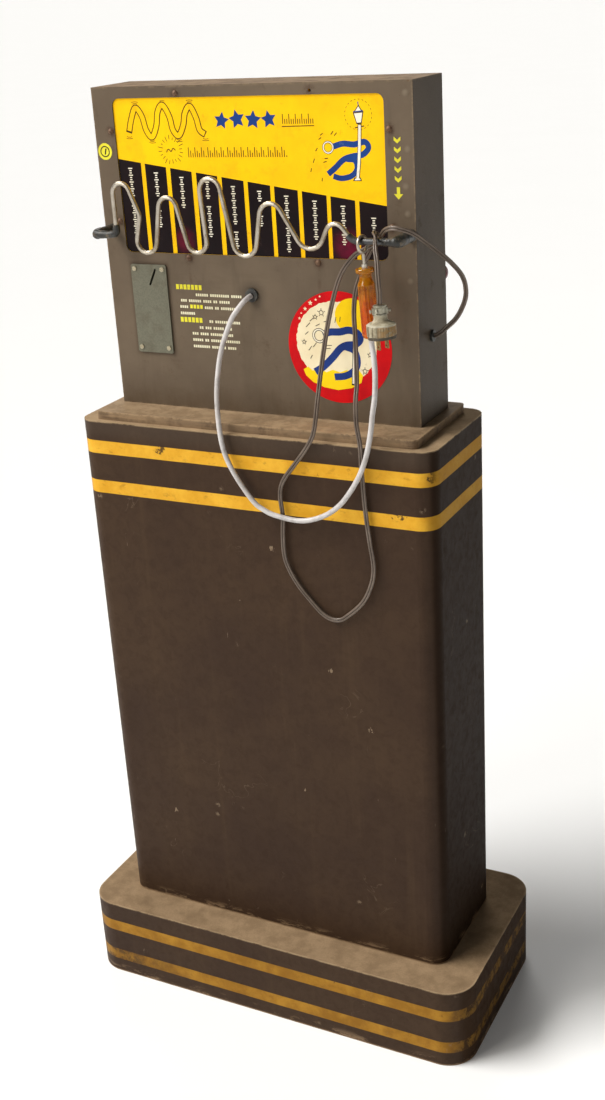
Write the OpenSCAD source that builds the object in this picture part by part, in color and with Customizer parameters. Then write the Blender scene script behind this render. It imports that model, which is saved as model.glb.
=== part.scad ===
// Coin-operated steady-hand tester: metal head box on a wooden pedestal.
// Millimetres. Origin at the bottom centre of the plinth, +X to the start side
// (the right of someone facing the front), +Y to the rear, +Z up.

/* [Plinth] */
// Plinth width
plinth_w = 640; // [560:1:720]
// Plinth depth
plinth_d = 310; // [260:1:360]
// Plinth height
plinth_h = 128; // [90:1:170]
// Radius of the plinth's upright corners
plinth_r = 45; // [20:1:60]
// Thickness of the plinth's boards
plinth_t = 18; // [12:1:25]

/* [Pedestal] */
// Pedestal width
body_w = 536; // [460:1:600]
// Pedestal depth
body_d = 200; // [160:1:260]
// Pedestal height, cap board included
body_h = 786; // [650:1:900]
// Radius of the pedestal's upright corners
body_r = 25; // [12:1:40]
// Plywood thickness of the pedestal's walls
ply = 12; // [9:1:18]
// Thickness of the cap board
cap_t = 18; // [12:1:25]
// Width of the opening in the pedestal's rear frame
door_open_w = 410; // [300:1:450]
// Height of the opening in the pedestal's rear frame
door_open_h = 690; // [500:1:720]
// Gap round the pedestal's rear door
door_gap = 1; // [0.5:0.1:2]

/* [Step board] */
// Step board width
step_w = 486; // [420:1:530]
// Step board depth
step_d = 174; // [140:1:190]
// Step board thickness
step_t = 12; // [9:1:18]

/* [Head] */
// Head width
head_w = 457; // [400:1:520]
// Head depth, without the rear door
head_d = 94.2; // [70:0.1:140]
// Head height
head_h = 428; // [360:1:500]
// Sheet steel thickness
sheet = 1.5; // [1:0.1:3]
// Distance of the head's front face before the pedestal's centre plane
head_front = 37.5; // [20:0.5:60]
// Window width
window_w = 388; // [300:1:400]
// Window height
window_h = 200; // [150:1:220]
// Height of the window's lower edge above the head's floor
window_z = 213.5; // [180:0.5:225]
// Sideways offset of the window's centre
window_x = -3.5; // [-10:0.5:10]
// Art panel thickness
art_t = 3; // [2:0.5:5]

/* [Coin entry] */
// Coin plate width
coin_plate_w = 56; // [40:1:70]
// Coin plate height
coin_plate_h = 122; // [90:1:140]
// Coin plate thickness
coin_plate_t = 2.5; // [1.5:0.5:4]
// Length of the coin slot
slot_l = 24.5; // [20:0.5:30]
// Width of the coin slot
slot_w = 3; // [2:0.1:3.5]
// Lean of the coin slot from the vertical, degrees
slot_lean = 25.5; // [0:0.5:40]

/* [Wire game] */
// Rod diameter
rod_dia = 6; // [4:0.5:8]
// Distance of the rod before the head's front face
rod_out = 45; // [30:1:60]
// Outer diameter of the start sleeve
sleeve_dia = 9; // [8:0.5:12]
// Outer diameter of the insulator tubes
insul_dia = 11; // [9:0.5:14]
// Height of the start sleeve's centre line
sleeve_z = 1171.5; // [1150:0.5:1190]
// Bend radius of the rod's elbows
elbow_r = 8; // [6:0.5:12]

/* [Wand] */
// Place of the wand along the start sleeve
wand_x = 176; // [174:0.5:180]
// Radius of the ring's wire centre line
ring_r = 10; // [9:0.5:14]
// Radius of the ring's wire
ring_wire = 2; // [1.5:0.25:3]
// Clearance between the hanging ring and the sleeve
ring_fit = 0.05; // [0.02:0.01:0.1]
// Sideways lean of the hanging wand, degrees
wand_lean = 3.3; // [0:0.1:5]
// Turn of the ring about the wand's own line, degrees
ring_turn = 9; // [0:1:20]
// Radius of the wand's grip
grip_r = 10.8; // [9:0.1:14]

/* [Cords] */
// Diameter of the probe cable
probe_dia = 7; // [5:0.5:8]
// Diameter of the power cord's solid
power_dia = 5; // [4:0.5:7]

/* [Hidden] */
eps = 0.01;
plinth_y = plinth_d / 2;
plinth_x = plinth_w / 2;
body_x = body_w / 2;
body_y = body_d / 2;
body_z0 = plinth_h;
body_z1 = plinth_h + body_h;
cap_z = body_z1 - cap_t;
step_z1 = body_z1 + step_t;
step_y0 = -90;
head_x = head_w / 2;
head_y0 = -head_front;
head_y1 = head_y0 + head_d;
head_z0 = step_z1;
head_z1 = head_z0 + head_h;
inner_x = head_x - sheet;
inner_y0 = head_y0 + sheet;
lip = 7;
back_gap = 0.3;
back_y0 = head_y1 + back_gap;
back_y1 = back_y0 + sheet;
win_x0 = window_x - window_w / 2;
win_z0 = head_z0 + window_z;
win_zc = win_z0 + window_h / 2;
win_r = 10;
art_w = 412;
art_h = 222;
art_y1 = inner_y0 + art_t;
art_screw_x = 200;
art_screw_top_x = 96;
art_screw_dz = 58.5;
art_screw_top_dz = 105;
art_pts = [
    [-art_screw_top_x, art_screw_top_dz], [-art_screw_x, art_screw_dz],
    [-art_screw_x, -art_screw_dz], [art_screw_x, art_screw_dz],
    [art_screw_x, -art_screw_dz], [-art_screw_top_x, -art_screw_top_dz],
    [art_screw_top_x, -art_screw_top_dz]];
art_spare = [art_screw_top_x, art_screw_top_dz];
art_shank_r = 2;
art_head_r = 4;

coin_x = -164.5;
coin_z = 1063;
slot_x = -158.7;
slot_z = 1107;
coin_screws = [[-22, 55], [22, 55], [-22, -53.5], [22, -53.5]];
chute_x0 = -167;
chute_x1 = -151;
chute_y1 = -10;
chute_wall = 1.2;
chute_top = 1124;
lever_x = -180;
lever_y = -23;
lever_z = 1006;

grommet_x = -7;
grommet_z = 1088.7;
cord_y = 5;
cord_z = 1037;
emblem_x = 116.8;
emblem_z = 1025;
emblem_r = 74;
decal_t = 0.4;

rod_r = rod_dia / 2;
rod_y = head_y0 - rod_out;
left_x = -215;
left_z = 1171;
rise_x = -180;
right_x = 222;
insul_from_x = 204;
// Bends of the rod between its elbows: centre x, centre z, radius,
// 1 for a hump or -1 for a dip.
bends = [
    [-167, 1224.8, 13, 1], [-152, 1196, 10, 1], [-134, 1163.6, 15, -1],
    [-98, 1207, 13.5, 1], [-58, 1165.3, 14.5, -1], [-33, 1229.7, 15, 1],
    [12.5, 1165.6, 17, -1], [52, 1199.2, 16, 1], [105, 1179.3, 19, -1],
    [140, 1178.8, 13, 1], [172, 1190.5, 19, -1]];

lean_c = cos(wand_lean);
ring_z = sleeve_z + sleeve_dia / 2 + ring_fit - ring_r * lean_c + ring_wire;
grip_end = 116;
neck_r = 1.75;

hinge_r = 2.8;
pin_r = 1.5;
pin_fit = 0.05;
knuckle = 16;
knuckle_gap = 0.3;
leaf_t = 1.2;
head_hinge = [-head_x - 2.7, back_y1 + 2.4];
head_hinge_z = [1010, 1270];
body_hinge = [-door_open_w / 2 + 0.5, body_y + 3.2];
body_hinge_z = [290, 740];
door_z0 = 171;
knob_x = 216.5;
knob_z = 1106;
cam_t = 2.4;
cam_gap = 2.2;
cam_y1 = head_y1 - sheet - cam_gap;
lock_x = 190;
lock_z = 515;
shelf_z = 700;
cash_x = 50;
cash_cx = -150;
cash_y = 60;
cash_h = 100;
board_x0 = 20;
board_x1 = 200;
board_z0 = 940;
board_z1 = 1105;
board_y0 = -30;
board_y1 = -25;
gong_x = 165;
gong_z = 1070;
gong_r = 22;
striker_x = 116;
striker_z = 1040;
striker_y = -14;
ball_x = 137.5;
ball_z = 1070;
lamp_x = [-80, 138];
lamp_z = 1160;
bracket_y = 10;

plug_top = [214.7, -125, 1105];
plug_lean = 3;
plug_turn = 60;

// Route of the probe cable from the grommet to the wand's grip.
probe_route = [
    [-7, -41, 1088.5], [-11, -52, 1084], [-20, -59, 1072], [-28, -64, 1058],
    [-40, -72, 1023], [-43, -82, 991], [-40, -95, 960], [-32, -108, 921],
    [-25, -111, 890], [-10, -112, 860], [14, -113, 828], [30, -113, 817],
    [48, -113, 811], [84, -113, 808], [117, -113, 818], [144, -113, 838],
    [167, -113, 870], [181, -113, 900], [188, -110, 931], [191, -105, 962],
    [192, -99, 982], [190, -91, 1008], [186, -84.5, 1030], [183.4, -82.5, 1042],
    [182.7, -82.5, 1051.8]];
// Route of the power cord from the side of the head to the plug.
power_route = [
    [232, 5, 1037], [240, 5, 1041], [248, 5, 1048], [263, 3, 1062],
    [275, -1, 1082], [280, -6, 1100], [279, -16, 1120], [270, -32, 1140],
    [258, -50, 1158], [247, -68, 1174], [239, -79, 1183], [228, -86, 1188],
    [217.5, -86.5, 1189], [207.5, -82.5, 1186], [199.5, -76, 1179.5], [188, -66, 1167],
    [171, -64, 1158.5], [153, -62, 1148], [133, -60, 1123], [118, -62, 1078],
    [110, -72, 1026], [109, -94, 970], [107, -105, 932], [96, -106, 909],
    [77, -106, 884], [58, -106, 859], [52, -106, 838], [54, -106, 808],
    [52, -106, 777], [54, -106, 744], [70, -106, 712], [96, -106, 682],
    [107, -106, 672], [118, -106, 667], [129, -106, 667], [140, -106, 673],
    [165, -106, 697], [179, -106, 724], [184, -106, 751], [180, -106, 787],
    [176, -106, 825], [173, -106, 877], [172, -106, 918], [167, -104, 947],
    [164, -96, 975], [162, -86, 996], [156, -72, 1047], [152, -64, 1080],
    [154, -60, 1106], [160, -56, 1126], [168, -53, 1146], [179, -54, 1163],
    [187, -62, 1174], [190, -72, 1181], [193, -83.5, 1182], [197.5, -93, 1177.5],
    [202, -103, 1166], [207.5, -112, 1153], [211, -119, 1137], [214, -123, 1118],
    [214.7, -125, 1105]];

// ---------- helpers ----------

// A box from its lowest and highest corners.
module span(a, b) {
    translate(a)
        cube([b[0] - a[0], b[1] - a[1], b[2] - a[2]]);
}

// A cylinder along Y from y0 to y1.
module ycyl(x, y0, y1, z, r, n = 48) {
    translate([x, y1, z])
        rotate([90, 0, 0])
            cylinder(h = y1 - y0, r = r, $fn = n);
}

// A cylinder along X from x0 to x1.
module xcyl(x0, x1, y, z, r, n = 48) {
    translate([x0, y, z])
        rotate([0, 90, 0])
            cylinder(h = x1 - x0, r = r, $fn = n);
}

module zcyl(x, y, z0, z1, r, n = 48) {
    translate([x, y, z0])
        cylinder(h = z1 - z0, r = r, $fn = n);
}

// A rectangle with round corners, centred.
module round_rect(w, h, r) {
    union() {
        square([w - 2 * r, h], center = true);
        square([w, h - 2 * r], center = true);
        for (sx = [-1, 1], sy = [-1, 1])
            translate([sx * (w / 2 - r), sy * (h / 2 - r)])
                circle(r = r, $fn = 64);
    }
}

// A board lying flat, with round upright corners.
module slab(w, d, r, z0, z1) {
    translate([0, 0, z0])
        linear_extrude(height = z1 - z0)
            round_rect(w, d, r);
}

// One quarter of a round post that fills an upright corner.
module corner_post(w, d, r, z0, z1) {
    for (sx = [-1, 1], sy = [-1, 1])
        intersection() {
            zcyl(sx * (w / 2 - r), sy * (d / 2 - r), z0, z1, r, 96);
            translate([sx * (w / 2 - r / 2), sy * (d / 2 - r / 2), (z0 + z1) / 2])
                cube([r, r, z1 - z0 + 2], center = true);
        }
}

// ---------- the rod's shape ----------

// Direction, in degrees, of the straight run from bend a to bend b.
function run_dir(a, b) =
    atan2(b[1] - a[1], b[0] - a[0])
    - asin((a[3] * a[2] - b[3] * b[2]) / norm([b[0] - a[0], b[1] - a[1]]));
// Point where a run of direction d touches bend a.
function touch(a, d) = [a[0] - a[3] * a[2] * sin(d), a[1] + a[3] * a[2] * cos(d)];
n_bends = len(bends);
dirs = [for (i = [0:n_bends - 2]) run_dir(bends[i], bends[i + 1])];
function dir_in(i) = i == 0 ? 90 : dirs[i - 1];
function dir_out(i) = i == n_bends - 1 ? 0 : dirs[i];

// Points along bend i, one every 18 degrees or less.
function bend_points(i) =
    let (b = bends[i], sweep = abs(dir_in(i) - dir_out(i)), n = ceil(sweep / 18))
    [for (k = [0:n])
        let (a = dir_in(i) + b[3] * (90 - sweep * k / n))
            [b[0] + b[2] * cos(a), rod_y, b[1] + b[2] * sin(a)]];

// Points of a quarter elbow: centre c, unit directions u at its start and v at its end.
function elbow_points(c, u, v) =
    [for (k = [0:4]) c + elbow_r * (u * cos(22.5 * k) + v * sin(22.5 * k))];

rod_path = concat(
    [[left_x, inner_y0 + 7, left_z]],
    elbow_points([left_x + elbow_r, rod_y + elbow_r, left_z], [-1, 0, 0], [0, -1, 0]),
    elbow_points([rise_x - elbow_r, rod_y, left_z + elbow_r], [0, 0, -1], [1, 0, 0]),
    [for (i = [0:n_bends - 1]) each bend_points(i)],
    elbow_points([right_x - elbow_r, rod_y + elbow_r, sleeve_z], [0, -1, 0], [1, 0, 0]),
    [[right_x, inner_y0 + 7, sleeve_z]]);

// The last bend of the rod, from its level end back up the slope.
module last_bend(r, sweep) {
    b = bends[n_bends - 1];
    translate([b[0], rod_y, b[1]])
        mirror([1, 0, 0])
            rotate([90, 0, 0])
                rotate([0, 0, -90])
                    rotate_extrude(angle = sweep, $fn = 96)
                        translate([b[2], 0])
                            circle(r = r, $fn = 32);
}

// A quarter elbow lying flat; cx, cy is the centre, a the start angle.
module flat_elbow(cx, cy, z, a, r) {
    translate([cx, cy, z])
        rotate([0, 0, a])
            rotate_extrude(angle = 90, $fn = 96)
                translate([elbow_r, 0])
                    circle(r = r, $fn = 32);
}

// Left end: out of the face, along X, then up.
module left_end(r, y_in, z_up) {
    ycyl(left_x, rod_y + elbow_r, y_in, left_z, r, 32);
    flat_elbow(left_x + elbow_r, rod_y + elbow_r, left_z, 180, r);
    xcyl(left_x + elbow_r, rise_x - elbow_r, rod_y, left_z, r, 32);
    translate([rise_x - elbow_r, rod_y, left_z + elbow_r])
        rotate([90, 0, 0])
            rotate([0, 0, -90])
                rotate_extrude(angle = 90, $fn = 96)
                    translate([elbow_r, 0])
                        circle(r = r, $fn = 32);
    zcyl(rise_x, rod_y, left_z + elbow_r, z_up, r, 32);
}

// Right end: along X, then back to the face.
module right_end(r, x_from, y_in) {
    xcyl(x_from, right_x - elbow_r, rod_y, sleeve_z, r, 32);
    mirror([1, 0, 0])
        flat_elbow(elbow_r - right_x, rod_y + elbow_r, sleeve_z, 180, r);
    ycyl(right_x, rod_y + elbow_r, y_in, sleeve_z, r, 32);
}

// ---------- cords ----------

function unit(v) = v / norm(v);
function tangent(p, i) =
    i == 0 ? unit(p[1] - p[0])
    : i == len(p) - 1 ? unit(p[i] - p[i - 1])
    : unit(unit(p[i + 1] - p[i]) + unit(p[i] - p[i - 1]));
function side_of(t, n) = unit(n - t * (n * t));
function sides(p, i, n, out) =
    i == len(p) ? out
    : let (m = side_of(tangent(p, i), n)) sides(p, i + 1, m, concat(out, [m]));
module tube(p, dia, count, first_side) {
    s = sides(p, 0, first_side, []);
    pts = [for (i = [0:len(p) - 1], k = [0:count - 1])
        let (t = tangent(p, i), a = 360 * k / count)
            p[i] + dia / 2 * (cos(a) * s[i] + sin(a) * cross(t, s[i]))];
    walls = [for (i = [0:len(p) - 2], k = [0:count - 1])
        let (a = i * count + k, b = i * count + (k + 1) % count)
            each [[a, b + count, b], [a, a + count, b + count]]];
    ends = [[for (k = [0:count - 1]) k],
        [for (k = [count - 1:-1:0]) (len(p) - 1) * count + k]];
    polyhedron(points = pts, faces = concat(walls, ends), convexity = 10);
}

// ---------- plinth ----------

module plinth_top_board() color("saddlebrown")
    slab(plinth_w, plinth_d, plinth_r, plinth_h - plinth_t, plinth_h);

module plinth_long_rails() color("saddlebrown")
    for (s = [-1, 1])
        translate([0, s * (plinth_y - plinth_t / 2), (plinth_h - plinth_t) / 2])
            cube([plinth_w - 2 * plinth_r, plinth_t, plinth_h - plinth_t], center = true);

module plinth_end_rails() color("saddlebrown")
    for (s = [-1, 1])
        translate([s * (plinth_x - plinth_t / 2), 0, (plinth_h - plinth_t) / 2])
            cube([plinth_t, plinth_d - 2 * plinth_r, plinth_h - plinth_t], center = true);

module plinth_corner_blocks() color("peru")
    corner_post(plinth_w, plinth_d, plinth_r, 0, plinth_h - plinth_t);

// ---------- pedestal ----------

module pedestal_front_panel() color("saddlebrown")
    span([-body_x + body_r, -body_y, body_z0], [body_x - body_r, -body_y + ply, cap_z]);

module pedestal_side_panels() color("saddlebrown")
    for (s = [-1, 1])
        translate([s * (body_x - ply / 2), 0, (body_z0 + cap_z) / 2])
            cube([ply, body_d - 2 * body_r, cap_z - body_z0], center = true);

module pedestal_corner_posts() color("peru")
    corner_post(body_w, body_d, body_r, body_z0, cap_z);

module pedestal_rear_frame() color("saddlebrown")
    difference() {
        span([-body_x + body_r, body_y - ply, body_z0], [body_x - body_r, body_y, cap_z]);
        span([-door_open_w / 2, body_y - ply - 1, door_z0 - door_gap],
            [door_open_w / 2, body_y + 1, door_z0 - door_gap + door_open_h]);
    }

module coin_hole(z0, z1)
    span([chute_x0, -36, z0], [chute_x1, chute_y1, z1]);

module bolt_holes(z0, z1, r)
    for (x = [-120, 120], y = [-15, 35])
        zcyl(x, y, z0, z1, r);

module pedestal_cap() color("saddlebrown")
    difference() {
        slab(body_w, body_d, body_r, cap_z, body_z1);
        coin_hole(cap_z - 1, body_z1 + 1);
        bolt_holes(cap_z - 1, body_z1 + 1, 3);
    }

module pedestal_shelf() color("peru")
    span([-body_x + ply, -body_y + body_r, shelf_z],
        [body_x - ply, body_y - body_r, shelf_z + ply]);

module pedestal_rear_door() color("saddlebrown")
    difference() {
        span([-door_open_w / 2 + door_gap, body_y - ply, door_z0],
            [door_open_w / 2 - door_gap, body_y, door_z0 + door_open_h - 2 * door_gap]);
        ycyl(lock_x, body_y - ply - 1, body_y + 1, lock_z, 9);
    }

module pedestal_lock_body() color("silver")
    difference() {
        union() {
            ycyl(lock_x, body_y - ply, body_y, lock_z, 9);
            ycyl(lock_x, body_y, body_y + 3, lock_z, 11);
        }
        ycyl(lock_x, body_y - ply - 1, body_y + 4, lock_z, 5);
    }

// Lock cylinder with its key slot and the cam on its inner end.
module pedestal_lock_cam() color("goldenrod")
    difference() {
        union() {
            ycyl(lock_x, body_y - ply - 3, body_y + 3.5, lock_z, 4.95);
            span([lock_x - 6, body_y - ply - 3.6, lock_z - 23],
                [lock_x + 6, body_y - ply - 1, lock_z + 6]);
        }
        span([lock_x - 0.6, body_y + 1, lock_z - 3.5], [lock_x + 0.6, body_y + 4, lock_z + 3.5]);
    }

module cash_box() color("dimgray")
    difference() {
        span([cash_cx - cash_x, -cash_y, shelf_z + ply],
            [cash_cx + cash_x, cash_y, shelf_z + ply + cash_h]);
        span([cash_cx - cash_x + sheet, -cash_y + sheet, shelf_z + ply + sheet],
            [cash_cx + cash_x - sheet, cash_y - sheet, shelf_z + ply + cash_h + 1]);
        for (s = [-1, 1])
            translate([cash_cx, s * cash_y, shelf_z + ply + cash_h - 22])
                cube([52, 10, 18], center = true);
    }

module step_board() color("saddlebrown")
    difference() {
        translate([0, step_y0 + step_d / 2, 0])
            slab(step_w, step_d, 8, body_z1, step_z1);
        coin_hole(body_z1 - 1, step_z1 + 1);
        bolt_holes(body_z1 - 1, step_z1 + 1, 3);
    }

// Bolts from the head's floor through the step board and the cap, with nuts.
module head_bolts() color("silver")
    for (x = [-120, 120], y = [-15, 35]) {
        zcyl(x, y, cap_z - 8, head_z0 + sheet, 3);
        zcyl(x, y, head_z0 + sheet, head_z0 + sheet + 4, 5.8, 6);
        zcyl(x, y, cap_z - 5, cap_z, 5.8, 6);
    }

// ---------- hinges ----------

// Lower and upper end of knuckle k of a three-knuckle hinge whose middle is at height zc.
function k0(zc, k) = zc + (k - 1) * knuckle - knuckle / 2 + (k == 1 ? knuckle_gap : 0);
function k1(zc, k) = zc + (k - 1) * knuckle + knuckle / 2 - (k == 1 ? knuckle_gap : 0);

module hinge_fixed_leaves() color("silver") {
    for (zc = head_hinge_z)
        for (k = [0, 2])
            difference() {
                union() {
                    zcyl(head_hinge[0], head_hinge[1], k0(zc, k), k1(zc, k), hinge_r, 40);
                    span([-head_x - leaf_t, back_y0 - 4, k0(zc, k)],
                        [-head_x, head_hinge[1], k1(zc, k)]);
                    if (k == 0)
                        span([-head_x - leaf_t, back_y0 - 24, zc - 1.5 * knuckle],
                            [-head_x, back_y0 - 3, zc + 1.5 * knuckle]);
                    if (k == 2)
                        span([-head_x - leaf_t, back_y0 - 5, k0(zc, k)],
                            [-head_x, back_y0 - 3, k1(zc, k)]);
                }
                zcyl(head_hinge[0], head_hinge[1], zc - 30, zc + 30, pin_r, 40);
            }
    for (zc = body_hinge_z)
        difference() {
            union() {
                for (k = [0, 2]) {
                    zcyl(body_hinge[0], body_hinge[1], k0(zc, k), k1(zc, k), hinge_r, 40);
                    span([body_hinge[0] - 6, body_y, k0(zc, k)],
                        [body_hinge[0], body_y + leaf_t, k1(zc, k)]);
                }
                span([body_hinge[0] - 28, body_y, zc - 1.5 * knuckle],
                    [body_hinge[0] - 4, body_y + leaf_t, zc + 1.5 * knuckle]);
            }
            zcyl(body_hinge[0], body_hinge[1], zc - 30, zc + 30, pin_r, 40);
        }
}

module hinge_pins() color("gray") {
    for (zc = head_hinge_z) {
        zcyl(head_hinge[0], head_hinge[1], zc - 1.5 * knuckle, zc + 1.5 * knuckle, pin_r, 40);
        zcyl(head_hinge[0], head_hinge[1], zc + 1.5 * knuckle, zc + 1.5 * knuckle + 1.5, 2.4, 40);
    }
    for (zc = body_hinge_z) {
        zcyl(body_hinge[0], body_hinge[1], zc - 1.5 * knuckle, zc + 1.5 * knuckle, pin_r, 40);
        zcyl(body_hinge[0], body_hinge[1], zc + 1.5 * knuckle, zc + 1.5 * knuckle + 1.5, 2.4, 40);
    }
}

module head_door_leaves() color("silver")
    for (zc = head_hinge_z)
        difference() {
            union() {
                zcyl(head_hinge[0], head_hinge[1], k0(zc, 1), k1(zc, 1), hinge_r, 40);
                span([head_hinge[0], back_y1, k0(zc, 1)],
                    [-head_x + 4, back_y1 + leaf_t, k1(zc, 1)]);
                span([-head_x + 3, back_y1, zc - 1.5 * knuckle],
                    [-head_x + 25, back_y1 + leaf_t, zc + 1.5 * knuckle]);
            }
            zcyl(head_hinge[0], head_hinge[1], zc - 30, zc + 30, pin_r + pin_fit, 40);
        }

module pedestal_door_leaves() color("silver")
    for (zc = body_hinge_z)
        difference() {
            union() {
                zcyl(body_hinge[0], body_hinge[1], k0(zc, 1), k1(zc, 1), hinge_r, 40);
                span([body_hinge[0], body_y, k0(zc, 1)],
                    [body_hinge[0] + 6, body_y + leaf_t, k1(zc, 1)]);
                span([body_hinge[0] + 4, body_y, zc - 1.5 * knuckle],
                    [body_hinge[0] + 28, body_y + leaf_t, zc + 1.5 * knuckle]);
            }
            zcyl(body_hinge[0], body_hinge[1], zc - 30, zc + 30, pin_r + pin_fit, 40);
        }

// ---------- head ----------

// Folded wrap: floor, sides and top, with lips turned in round the rear.
module head_shell() color("rosybrown")
    difference() {
        span([-head_x, inner_y0, head_z0], [head_x, head_y1, head_z1]);
        span([-inner_x, inner_y0 - 1, head_z0 + sheet],
            [inner_x, head_y1 - sheet, head_z1 - sheet]);
        span([-inner_x + lip, head_y1 - 5, head_z0 + sheet + lip],
            [inner_x - lip, head_y1 + 1, head_z1 - sheet - lip]);
        coin_hole(head_z0 - 1, head_z0 + 5);
        bolt_holes(head_z0 - 1, head_z0 + 5, 3);
        xcyl(inner_x - 1, head_x + 1, cord_y, cord_z, 6);
    }

module art_holes(r, y0, y1) {
    for (p = art_pts)
        ycyl(window_x + p[0], y0, y1, win_zc + p[1], r, 32);
    ycyl(window_x + art_spare[0], y0, y1, win_zc + art_spare[1], r, 32);
}

module front_panel() color("rosybrown")
    difference() {
        span([-head_x, head_y0, head_z0], [head_x, inner_y0, head_z1]);
        translate([window_x, inner_y0 + 1, win_zc])
            rotate([90, 0, 0])
                linear_extrude(height = sheet + 2)
                    round_rect(window_w, window_h, win_r);
        art_holes(art_shank_r, head_y0 - 1, inner_y0 + 1);
        translate([slot_x, (head_y0 + inner_y0) / 2, slot_z])
            rotate([0, slot_lean, 0])
                cube([slot_w + 2, sheet + 2, slot_l + 2], center = true);
        for (p = coin_screws)
            ycyl(coin_x + p[0], head_y0 - 1, inner_y0 + 1, coin_z + p[1], 1.5, 32);
        ycyl(grommet_x, head_y0 - 1, inner_y0 + 1, grommet_z, 7);
        ycyl(left_x, head_y0 - 1, inner_y0 + 1, left_z, rod_r);
        ycyl(right_x, head_y0 - 1, inner_y0 + 1, sleeve_z, rod_r);
    }

module art_panel() color("gold")
    difference() {
        span([window_x - art_w / 2, inner_y0, win_zc - art_h / 2],
            [window_x + art_w / 2, art_y1, win_zc + art_h / 2]);
        art_holes(art_shank_r, inner_y0 - 1, art_y1 + 1);
    }

// Round-head screws round the window; the eighth hole is empty.
module art_screws() color("silver")
    for (p = art_pts)
        translate([window_x + p[0], 0, win_zc + p[1]]) {
            ycyl(0, head_y0, art_y1 + 5, 0, art_shank_r, 32);
            difference() {
                intersection() {
                    translate([0, head_y0 + 1.4, 0])
                        sphere(r = 4.3, $fn = 48);
                    translate([-5, head_y0 - 4, -5])
                        cube([10, 4, 10]);
                }
                translate([-5, head_y0 - 4, -0.5])
                    cube([10, 2, 1]);
            }
        }

module panel_nuts() color("silver") {
    for (p = art_pts)
        difference() {
            ycyl(window_x + p[0], art_y1, art_y1 + 3.2, win_zc + p[1], 4, 6);
            ycyl(window_x + p[0], art_y1 - 1, art_y1 + 4, win_zc + p[1], art_shank_r, 32);
        }
    for (p = [[left_x, left_z], [right_x, sleeve_z]])
        difference() {
            ycyl(p[0], inner_y0, inner_y0 + 4, p[1], 4.8, 6);
            ycyl(p[0], inner_y0 - 1, inner_y0 + 5, p[1], rod_r, 32);
        }
}

// A printed bar on the front, lower left corner x, z.
module bar(x, z, w, h)
    span([x, head_y0 - decal_t, z], [x + w, head_y0, z + h]);

// Stand-ins for lettering: word-long bars, a price disc and an arrow.
line_z = [1084, 1075.5, 1067, 1059, 1037.5, 1029.5, 1021, 1013];
words = [[14, 22, 9, 18, 24], [20, 12, 26, 16, 12], [10, 24, 18, 8, 26], [26, 9, 20, 15, 17],
    [18, 20, 12, 24, 12], [9, 26, 14, 20, 18], [22, 16, 8, 22, 19], [15, 24, 20, 14, 0]];
function word_x(w, k) = k == 0 ? 0 : word_x(w, k - 1) + w[k - 1] + 3;
module front_decals() color("khaki") {
    ycyl(-216, head_y0 - decal_t, head_y0, 1272.3, 10.8, 64);
    for (k = [0:4])
        bar(202.5, 1281 - 11.5 * k, 8.5, 8);
    translate([206.5, head_y0, 1215])
        rotate([90, 0, 0])
            linear_extrude(height = decal_t)
                polygon([[0, 0], [6, 6], [2, 6], [2, 13], [-2, 13], [-2, 6], [-6, 6]]);
    bar(-124, 1092.5, 28, 8);
    bar(-93, 1092.5, 20, 8);
    bar(-121, 1047.5, 22, 7);
    bar(-96, 1047.5, 18, 7);
    for (i = [0:7], k = [0:4])
        if (words[i][k] > 0)
            bar(-122 + word_x(words[i], k), line_z[i], words[i][k], 4);
}

module round_emblem() color("firebrick")
    ycyl(emblem_x, head_y0 - decal_t, head_y0, emblem_z, emblem_r, 128);

module coin_plate() color("gray")
    difference() {
        translate([coin_x, head_y0, coin_z])
            rotate([90, 0, 0])
                linear_extrude(height = coin_plate_t)
                    round_rect(coin_plate_w, coin_plate_h, 3);
        translate([slot_x, head_y0, slot_z])
            rotate([0, slot_lean, 0])
                cube([slot_w, 12, slot_l], center = true);
        for (p = coin_screws)
            ycyl(coin_x + p[0], head_y0 - coin_plate_t - 1, head_y0 + 1, coin_z + p[1], 1.5, 32);
    }

module coin_plate_screws() color("silver")
    for (p = coin_screws)
        translate([coin_x + p[0], 0, coin_z + p[1]])
            difference() {
                union() {
                    ycyl(0, head_y0 - coin_plate_t, inner_y0 + 3, 0, 1.5, 32);
                    ycyl(0, head_y0 - coin_plate_t - 1.6, head_y0 - coin_plate_t, 0, 3.2, 32);
                }
                translate([-4, head_y0 - coin_plate_t - 2, -0.4])
                    cube([8, 1.2, 0.8]);
            }

// Channel behind the slot; the coin falls through the boards into the box.
module coin_chute() color("gray")
    difference() {
        span([chute_x0 - chute_wall, inner_y0, head_z0 + sheet],
            [chute_x1 + chute_wall, chute_y1 + chute_wall, chute_top]);
        span([chute_x0, inner_y0 - 1, head_z0],
            [chute_x1, chute_y1, chute_top - chute_wall]);
        span([chute_x0 - 3, lever_y - 3, 998], [chute_x0 + 1, lever_y + 3, 1011]);
    }

module coin_switch() color("black") {
    span([-188, -28, 982], [chute_x0 - chute_wall, -18, 999]);
    for (y = [-28, -20])
        difference() {
            span([-183.5, y, 999], [-176.5, y + 2, 1009.5]);
            ycyl(lever_x, y - 1, y + 3, lever_z, 1.2, 32);
        }
    ycyl(lever_x, -28, -18, lever_z, 1.2, 32);
}

module coin_lever() color("silver")
    difference() {
        union() {
            ycyl(lever_x, -25.6, -20.4, lever_z, 2.4, 32);
            span([lever_x + 1, lever_y - 1, lever_z - 0.6], [-157, lever_y + 1, lever_z + 0.6]);
        }
        ycyl(lever_x, -27, -19, lever_z, 1.25, 32);
    }

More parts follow.
